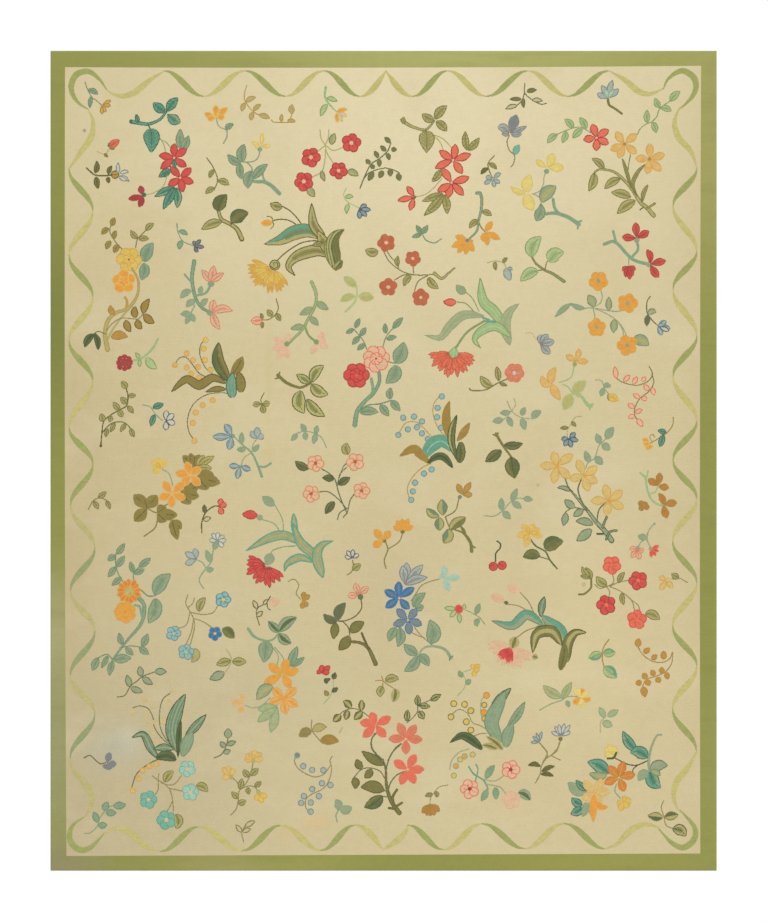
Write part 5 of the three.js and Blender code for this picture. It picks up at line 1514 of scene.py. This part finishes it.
spray("ribbonRight", 0, 0)
ribbon("hay", 680.8, 107, 678.3, 110.5, 674.5, 123, 679, 138, 690.7, 151, 697.3, 167.7)
ribbonRun("sage", "hay", 697, 168, 673, 206, 697, 251, 673, 289, 697, 336, 673, 376, 697, 421, 673, 460)
ribbonRun("sage", "hay", 673, 460, 697, 499, 672.6, 541.5, 697, 583, 672.6, 626, 697, 666, 672.6, 709,
    696.6, 751)
ribbon("hay", 697.3, 751, 687.2, 768.4, 676.5, 781.8, 673.8, 797.9, 677.9, 808.6, 680, 811)

spray("ribbonFoot", 0, 0)
ribbon("sage", 83.4, 817.4, 73.5, 824.6, 69.6, 834, 71.6, 843.4, 80.2, 850, 89.6, 848.1, 97.6, 840.7,
    104.6, 833)
ribbon("hay", 104.3, 834, 115, 828.6, 125.7, 830, 136.4, 838, 147, 847.4, 159.2, 851.4)
ribbonRun("sage", "hay", 160.5, 851.4, 199, 826.6, 242, 850.8, 281, 825.2, 321, 850.4, 355, 825)
ribbonRun("hay", "hay", 355, 825, 383, 850, 408, 825, sharp=1)
ribbonRun("sage", "hay", 408, 825, 443.5, 849.8, 482, 823.6, 525, 848.8, 564, 823.4, 605.5, 849)
ribbon("hay", 605.5, 849, 617.6, 843.4, 629.6, 831.3, 640.4, 825.3, 648.4, 824.6, 656.4, 826.6, 659.8,
    829.3)
ribbon("sage", 658.6, 828.8, 664.5, 835.4, 671.2, 842.4, 681.9, 847.6, 690.6, 843.6, 695.4, 835.4, 694.4,
    827.3, 688.6, 819.3, 680, 810)
print("chart sewn:", columns, "by", rows, "stitches,", len(sprayNames), "sprays")

# Creases of the rug, as its solid has them: a soft ridge or trough along one axis. Sizes are in metres.
creases = [
    {"along": "y", "at": -0.027, "from": -1.877, "to": -1.500, "half": 0.022, "rise": 0.0009},
    {"along": "y", "at": -0.027, "from": 1.300, "to": 1.877, "half": 0.024, "rise": 0.0010},
    {"along": "y", "at": -0.310, "from": -0.500, "to": 0.500, "half": 0.030, "rise": 0.0004},
    {"along": "x", "at": 1.427, "from": -1.300, "to": 0.700, "half": 0.028, "rise": 0.0007},
    {"along": "x", "at": 1.215, "from": -1.400, "to": 0.200, "half": 0.030, "rise": -0.0005},
    {"along": "x", "at": 0.975, "from": -1.300, "to": -0.300, "half": 0.026, "rise": 0.0008},
    {"along": "x", "at": 0.071, "from": -1.100, "to": 1.300, "half": 0.034, "rise": 0.0006},
    {"along": "x", "at": -0.900, "from": -0.900, "to": 1.400, "half": 0.030, "rise": 0.0007},
    {"along": "x", "at": -1.518, "from": -1.400, "to": 0.900, "half": 0.028, "rise": -0.0005},
]
creaseFade = 0.075
cloth = {"thickness": 0.004, "edge": 0.0026, "roll": 0.014, "pile": 0.00035, "cell": 0.05}


# 0 at a, 1 at b, with a level start and end: 3t^2 - 2t^3.
def ramp(a, b, v):
    t = np.clip((v - a) / (b - a), 0, 1)
    return t * t * (3 - 2 * t)


# Height of the stitched face. Each crease is a bell curve across its line that fades at its ends, and the
# face rounds down to the edge as a quarter circle.
def faceHeight(x, y):
    creased = 0
    for c in creases:
        across, place = (x - c["at"], y) if c["along"] == "y" else (y - c["at"], x)
        begun = ramp(c["from"] - creaseFade, c["from"] + creaseFade, place)
        ended = ramp(c["to"] - creaseFade, c["to"] + creaseFade, place)
        fade = begun * (1 - ended)
        creased = creased + c["rise"] * fade * np.exp(-((across / c["half"]) ** 2))
    toEdge = np.minimum(rugWidth / 2 - np.abs(x), rugLength / 2 - np.abs(y))
    inset = toEdge.clip(0, cloth["roll"]) / cloth["roll"]
    lift = cloth["thickness"] - cloth["edge"] + creased
    return cloth["edge"] + lift * np.sqrt(1 - (1 - inset) ** 2)


# Grid lines across one axis: even cells, close lines on the rounded edge, and close lines on each crease.
def gridLines(span, alongOther):
    even = np.linspace(-span / 2, span / 2, int(span / cloth["cell"]) + 1)
    roll = cloth["roll"] * np.array([0.1, 0.35, 0.65, 1.0])
    close = [c["at"] + c["half"] * np.linspace(-2.4, 2.4, 13) for c in creases if c["along"] == alongOther]
    lines = np.concatenate([even, roll - span / 2, span / 2 - roll, *close])
    return np.unique(lines.round(4))


# A smooth mesh object from whole arrays of points and faces, with places for the bake and wool colours if
# given.
def addPiece(name, points, faces, material, uv=None, wool=None):
    mesh = bpy.data.meshes.new(name)
    mesh.from_pydata(points, [], faces)
    if uv is not None:
        mesh.uv_layers.new(name="OFBake").data.foreach_set("uv", uv.astype(np.float32).ravel())
    if wool is not None:
        mesh.color_attributes.new("wool", "FLOAT_COLOR", "CORNER").data.foreach_set("color", wool.ravel())
    mesh.polygons.foreach_set("use_smooth", np.full(len(mesh.polygons), True))
    mesh.materials.append(material)
    mesh.update()
    piece = bpy.data.objects.new(name, mesh)
    bpy.context.scene.collection.objects.link(piece)
    return piece


# A socket of a material's node tree. + - * / with another socket or a number make Math nodes.
class Shade:
    def __init__(self, tree, socket):
        self.tree, self.socket = tree, socket

    # Any node: its type, settings by name, and inputs by name or, after an i, by number, as values or shades.
    def node(self, kind, out=0, settings=None, **inputs):
        made = self.tree.nodes.new("ShaderNode" + kind)
        for key, value in (settings or {}).items():
            setattr(made, key, value)
        for key, value in inputs.items():
            numbered = key[0] == "i" and key[1:].isdigit()
            socket = made.inputs[int(key[1:]) if numbered else key]
            if isinstance(value, Shade):
                self.tree.links.new(value.socket, socket)
            else:
                socket.default_value = value
        return Shade(self.tree, made.outputs[out])

    def math(self, operation, a, b=0.0, c=0.0):
        return self.node("Math", settings={"operation": operation}, i0=a, i1=b, i2=c)

    def __add__(self, other):
        return self.math("ADD", self, other)

    def __radd__(self, other):
        return self.math("ADD", other, self)

    def __sub__(self, other):
        return self.math("SUBTRACT", self, other)

    def __rsub__(self, other):
        return self.math("SUBTRACT", other, self)

    def __mul__(self, other):
        return self.math("MULTIPLY", self, other)

    def __rmul__(self, other):
        return self.math("MULTIPLY", other, self)

    def __truediv__(self, other):
        return self.math("DIVIDE", self, other)

    def __rtruediv__(self, other):
        return self.math("DIVIDE", other, self)

    # This number, kept from 0 to 1.
    def clipped(self):
        return self.node("Clamp", i0=self)

    # Colour: this one, moved towards another by a share.
    def towards(self, colour, share):
        return self.node("Mix", 2, {"data_type": "RGBA"}, i0=share, i6=self, i7=colour)

    # Colour: this one with each channel times a number.
    def times(self, number):
        return self.node("VectorMath", settings={"operation": "SCALE"}, i0=self, Scale=number)


# Colour value of a wool for a socket: its linear red, green and blue, and 1.
def paint(rgb):
    return (*linear(rgb), 1.0)


# A new wool material: its surface node, its object coordinates, and their x and y.
def newWool(name):
    material = bpy.data.materials.new(name)
    material.use_nodes = True
    tree = material.node_tree
    surface = tree.nodes["Principled BSDF"]
    place = Shade(tree, tree.nodes.new("ShaderNodeTexCoord").outputs["Object"])
    split = place.node("SeparateXYZ", i0=place)
    x, y = (Shade(tree, split.socket.node.outputs[k]) for k in (0, 1))
    return material, surface, place, x, y


# Cloud of noise stretched by a scale for each axis, from about -0.5 to 0.5.
def cloud(place, scale, detail=2.0, rough=0.5):
    spread = place.node("VectorMath", settings={"operation": "MULTIPLY"}, i0=place, i1=scale)
    return place.node("TexNoise", Vector=spread, Scale=1.0, Detail=detail, Roughness=rough) - 0.5


# The face of wool: stitches slant across their squares, each a rounded lobe along its diagonal, with fine
# fibres over them. Colour gets a little lighter or darker from stitch to stitch and in rows, as hand-dyed
# wool does. Each lobe also has painted shade: its colour is a little lighter on the crest and darker in the
# grooves between stitches.
def finishWool(material, surface, place, x, y, colour):
    tree = material.node_tree
    wander = cloud(place, (60.0, 60.0, 0.0)) * 0.0012
    u = ((x + wander) / stitch + 0.5 * columns).math("FRACT", (x + wander) / stitch + 0.5 * columns)
    v = ((y + wander) / stitch + 0.5 * rows).math("FRACT", (y + wander) / stitch + 0.5 * rows)
    slant = u.math("COSINE", (u - v) * np.pi)
    lobe = slant * slant * (0.55 + 0.45 * u.math("SINE", u * np.pi))
    fibres = cloud(place, (900.0, 900.0, 0.0), 3.0, 0.6)
    height = lobe + fibres * 0.35 + cloud(place, (140.0, 140.0, 0.0)) * 0.8
    cell = place.node("VectorMath", settings={"operation": "SNAP"}, i0=place, i1=(stitch, stitch, 1.0))
    speck = place.node("TexWhiteNoise", settings={"noise_dimensions": "2D"}, Vector=cell) - 0.5
    skeins = cloud(place, (7.0, 330.0, 0.0))
    # Tone: the wool's own change from stitch to stitch and in rows, plus painted shade from the lobe's
    # height, darker in the grooves.
    toneAndGrooveShade = 1.0 + speck * 0.07 + skeins * 0.10 + cloud(place, (30.0, 30.0, 0.0)) * 0.08 + (lobe - 0.5) * 0.05
    bump = place.node("Bump", Height=height, Strength=0.5, Distance=0.0007)
    tree.links.new(colour.times(toneAndGrooveShade).socket, surface.inputs["Base Color"])
    tree.links.new((0.9 + fibres * 0.12).socket, surface.inputs["Roughness"])
    tree.links.new(bump.socket, surface.inputs["Normal"])
    surface.inputs["Specular IOR Level"].default_value = 0.18
    surface.inputs["Sheen Weight"].default_value = 0.12
    surface.inputs["Sheen Roughness"].default_value = 0.5


# Chart place to metres from the rug's middle.
def metres(cx, cy):
    return (cx - chart["left"]) * square - rugWidth / 2, rugLength / 2 - (cy - chart["top"]) * square


# A soft round mark on the wool: 1 in its middle, falling as a bell curve to nothing.
def mark(x, y, at, radius):
    mx, my = metres(*at)
    across, down = (x - mx) / (radius[0] * square), (y - my) / (radius[1] * square)
    return x.math("EXPONENT", (across * across + down * down) * -1.0)


# A wool's colour with its marks, dye lots and painted light: soft round places, each moved towards its own
# colour by a share.
def marked(place, x, y, base, marks):
    colour = place.node("RGB")
    colour.socket.default_value = paint(base)
    for at, radius, wool, share in marks:
        colour = colour.towards(paint(wool), mark(x, y, at, radius) * share)
    return colour


# Ground: cream wool. Its widest marks are painted light: lightest towards the top, and darker and browner at
# the left and the foot, where less light falls.
# Each mark: its middle and radius in chart squares, its colour, and its share.
groundPaintedLightAndMarks = [
    # The first mark is painted light, a lighter top; the wide darker marks at the left and the foot are
    # painted shade.
    ((430, 100), (280, 210), (230, 217, 176), 0.95),
    ((480, 360), (120, 90), (222, 207, 164), 0.40),
    ((70, 430), (110, 170), (199, 183, 140), 0.60),
    ((60, 800), (190, 190), (187, 174, 137), 0.80),
    ((385, 600), (45, 90), (196, 180, 140), 0.35),
    ((590, 650), (70, 120), (221, 204, 157), 0.50),
    ((60, 560), (40, 200), (190, 172, 128), 0.45),
    ((708, 500), (26, 420), (206, 188, 146), 0.60),
    ((112, 748), (34, 26), (188, 188, 168), 0.50),
    ((118, 746), (12, 10), (170, 178, 168), 0.35),
    ((130, 740), (12, 16), (206, 204, 180), 0.40),
    ((316, 822), (14, 7), (222, 184, 128), 0.45),
    ((292, 834), (16, 8), (220, 186, 134), 0.35),
    ((268, 400), (4, 64), (204, 192, 128), 0.45),
    ((250, 690), (60, 40), (196, 186, 146), 0.35),
    ((84.5, 130.5), (1.6, 1.6), (120, 104, 88), 0.85),
    ((538, 485), (1.4, 1.4), (140, 118, 92), 0.75),
]
groundWool, surface, place, x, y = newWool("groundWool")
colour = marked(place, x, y, (212, 197, 153), groundPaintedLightAndMarks)
warm, aged = cloud(place, (2.2, 1.7, 0.0), 3.0), cloud(place, (1.6, 2.6, 0.0), 4.0, 0.6)
colour = colour.towards(paint((206, 186, 142)), (warm * 1.3).clipped())
colour = colour.towards(paint((232, 220, 182)), (aged * 1.2).clipped())
finishWool(groundWool, surface, place, x, y, colour)

# Border: green wool from several dye lots, so it goes from yellow green at the top to grey green at the
# lower left.
borderMarks = [
    ((460, 54), (250, 34), (176, 176, 108), 1.0),
    ((706, 140), (60, 150), (168, 164, 97), 0.90),
    ((52, 320), (40, 100), (129, 133, 68), 0.95),
    ((52, 636), (40, 56), (176, 170, 120), 1.0),
    ((52, 750), (40, 110), (158, 157, 110), 0.90),
    ((52, 866), (50, 26), (149, 142, 104), 0.90),
    ((225, 862), (50, 40), (165, 159, 100), 0.85),
    ((300, 862), (50, 40), (160, 160, 87), 0.70),
    ((600, 862), (110, 40), (157, 156, 82), 0.80),
    ((712, 760), (40, 80), (154, 154, 85), 0.80),
]
borderWool, surface, place, x, y = newWool("borderWool")
colour = marked(place, x, y, (147, 148, 77), borderMarks)
lots = cloud(place, (1.4, 9.0, 0.0), 3.0, 0.6)
colour = colour.towards(paint((132, 134, 66)), (lots * 1.6).clipped())
finishWool(borderWool, surface, place, x, y, colour)

# Sprays: each stitch has the colour of its own wool, with soft changes of tone along a leaf or a petal.
sprayWool, surface, place, x, y = newWool("sprayWool")
wool = place.node("Attribute", settings={"attribute_name": "wool"})
faded = wool.towards(paint((200, 184, 140)), 0.06 + cloud(place, (24.0, 24.0, 0.0)) * 0.16)
finishWool(sprayWool, surface, place, x, y, faded.times(1.0 + cloud(place, (45.0, 45.0, 0.0)) * 0.30))
print("wools ready")


# Ground: a closed slab on the grid lines, its top the face and its foot on the floor.
def makeGround():
    xs, ys = gridLines(rugWidth, "y"), gridLines(rugLength, "x")
    x, y = np.meshgrid(xs, ys)
    nx, ny = len(xs), len(ys)
    top = np.stack([x, y, faceHeight(x, y)], -1).reshape(-1, 3)
    foot = np.stack([x, y, 0 * x], -1).reshape(-1, 3)
    cell = (np.arange(ny - 1)[:, None] * nx + np.arange(nx - 1)).ravel()
    up = np.stack([cell, cell + 1, cell + nx + 1, cell + nx], -1)
    down = up[:, ::-1] + nx * ny
    front, right = np.arange(nx), np.arange(ny) * nx + nx - 1
    back, left = (front + nx * (ny - 1))[::-1], (right - nx + 1)[::-1]
    rim = np.concatenate([front, right[1:], back[1:], left[1:]])
    sides = np.stack([rim[:-1] + nx * ny, rim[1:] + nx * ny, rim[1:], rim[:-1]], -1)
    return addPiece("creamGround", np.vstack([top, foot]), np.vstack([up, down, sides]).tolist(), groundWool)


# Border: loops round the rug, from the inner edge over the face and down the turned edge to the floor. Each
# side has its width in chart squares at its first corner, its middle and its last corner. loops: how far in
# each loop lies, as a share of that width. foot loops: the heights of those down the turned edge.
border = {
    "left": (15.6, 14.0, 14.2),
    "right": (16.2, 16.6, 15.4),
    "top": (16.2, 16.6, 14.8),
    "foot": (14.4, 15.6, 16.9),
    "loops": (1.0, 0.75, 0.5, 0.3, 14 / 68, 9 / 68, 5 / 68, 1.5 / 68, 0.0),
    "foot loops": (cloth["edge"], 0.0014, 0.0002),
}


def makeBorder():
    xs, ys = gridLines(rugWidth, "y") / rugWidth + 0.5, gridLines(rugLength, "x") / rugLength + 0.5
    loops = []
    for inset in border["loops"]:
        bow = {}
        for side, along in (("left", ys), ("right", ys), ("top", xs), ("foot", xs)):
            first, middle, last = border[side]
            bulge = 4 * (middle - (first + last) / 2)
            bow[side] = inset * square * (first + (last - first) * along + bulge * along * (1 - along))
        left, right, top, foot = (bow[side] for side in ("left", "right", "top", "foot"))
        x0, x1 = -rugWidth / 2 + left, rugWidth / 2 - right
        y0, y1 = -rugLength / 2 + foot, rugLength / 2 - top
        front = np.stack([x0[0] + (x1[0] - x0[0]) * xs, y0 + 0 * xs], -1)
        east = np.stack([x1 + 0 * ys, y0[-1] + (y1[-1] - y0[-1]) * ys], -1)
        back = np.stack([x0[-1] + (x1[-1] - x0[-1]) * xs, y1 + 0 * xs], -1)[::-1]
        west = np.stack([x0 + 0 * ys, y0[0] + (y1[0] - y0[0]) * ys], -1)[::-1]
        ring = np.concatenate([front[:-1], east[:-1], back[:-1], west[:-1]])
        loops.append(np.column_stack([ring, faceHeight(ring[:, 0], ring[:, 1]) + cloth["pile"]]))
    outer = loops[-1].copy()
    grow = np.array([1 + 2 * cloth["pile"] / rugWidth, 1 + 2 * cloth["pile"] / rugLength])
    for height in border["foot loops"]:
        side = outer.copy()
        side[:, :2] *= grow
        side[:, 2] = height
        loops.append(side)
    count = len(loops[0])
    points = np.vstack(loops)
    here = np.arange(count)
    ahead = np.roll(here, -1)
    strip = np.stack([here, here + count, ahead + count, ahead], -1)
    faces = np.vstack([strip + k * count for k in range(len(loops) - 1)])
    return addPiece("greenBorder", points, faces.tolist(), borderWool)


# The stitches of one spray as a mesh: in each row, stitches of one wool side by side make a face, at most
# longest of them. uvMargin: what is left free round its picture.
longest, uvMargin = 6, 0.01


def makeSpray(name, number):
    row, column = np.nonzero(sprayAt == number)
    wool = yarnAt[row, column]
    begins = np.ones(len(row), bool)
    begins[1:] = (row[1:] != row[:-1]) | (column[1:] != column[:-1] + 1) | (wool[1:] != wool[:-1])
    begins[column % longest == 0] = True
    first = np.nonzero(begins)[0]
    last = np.append(first[1:], len(row)) - 1
    left, right = column[first] * stitch - rugWidth / 2, (column[last] + 1) * stitch - rugWidth / 2
    high, low = rugLength / 2 - row[first] * stitch, rugLength / 2 - (row[first] + 1) * stitch
    x, y = np.stack([left, right, right, left], -1), np.stack([low, low, high, high], -1)
    points = np.stack([x, y, faceHeight(x, y) + cloth["pile"]], -1).reshape(-1, 3)
    faces = np.arange(len(points)).reshape(-1, 4)
    flat = points[:, :2] - points[:, :2].min(0)
    uv = uvMargin + (1 - 2 * uvMargin) * flat / flat.max(0)
    dyed = np.array([linear(wools[w]) for w in woolNames])[wool[first]]
    colours = dyed * rng.uniform(0.93, 1.07, (len(first), 1))
    colours = np.column_stack([colours, np.ones(len(first))]).repeat(4, 0)
    return addPiece(name, points, faces.tolist(), sprayWool, uv, colours.astype(np.float32))


ground = makeGround()
edging = makeBorder()
sprays = [makeSpray(name, k) for k, name in enumerate(sprayNames)]
print("pieces made:", len(sprays) + 2, "faces in sprays:", sum(len(p.data.polygons) for p in sprays))

for piece in (ground, edging, *sprays):
    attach(piece, "root")
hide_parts("rug")

# Floor, light and camera
floorMaterial, surface, place, x, y = newWool("floorPaint")
floorTone = place.node("RGB")
floorTone.socket.default_value = (0.94, 0.94, 0.94, 1.0)
floorColour = floorTone.times(1.0 + cloud(place, (3.0, 3.0, 0.0)) * 0.01)
floorMaterial.node_tree.links.new(floorColour.socket, surface.inputs["Base Color"])
surface.inputs["Roughness"].default_value = 0.9
surface.inputs["Specular IOR Level"].default_value = 0.0
floorReach, floorDrop = 9.0, 0.0005
corners = [(x * floorReach, y * floorReach, -floorDrop) for x, y in ((-1, -1), (1, -1), (1, 1), (-1, 1))]
floorMesh = bpy.data.meshes.new("floor")
floorMesh.from_pydata(corners, [], [(0, 1, 2, 3)])
floorMesh.materials.append(floorMaterial)
floor = bpy.data.objects.new("floor", floorMesh)
bpy.context.scene.collection.objects.link(floor)

world = bpy.data.worlds.new("room")
bpy.context.scene.world = world
world.use_nodes = True
world.node_tree.nodes["Background"].inputs["Color"].default_value = (1.0, 1.0, 1.0, 1.0)
world.node_tree.nodes["Background"].inputs["Strength"].default_value = 0.62

# The key light is a wide soft sky light, as even over the whole rug as a studio ceiling.
lamp = bpy.data.lights.new("softKey", "SUN")
lamp.energy, lamp.angle = 2.1, np.radians(24)
key = bpy.data.objects.new("softKey", lamp)
key.rotation_euler = (0.0, np.radians(44), np.radians(52))
bpy.context.scene.collection.objects.link(key)

# Camera straight above. The frame is 768 chart squares wide and 922 high, and the rug's middle is a hair
# off its own.
lens, sensor = 100.0, 36.0
view = {"width": 768, "height": 922}
camera = bpy.data.objects.new("camera", bpy.data.cameras.new("camera"))
camera.data.lens, camera.data.sensor_width = lens, sensor
camera.data.clip_end = 100.0
distance = view["height"] * square * lens / sensor
middle = metres(view["width"] / 2, view["height"] / 2)
camera.location = (middle[0], middle[1], distance + cloth["thickness"])
bpy.context.scene.collection.objects.link(camera)
bpy.context.scene.camera = camera
bpy.context.scene.view_settings.view_transform = "Standard"
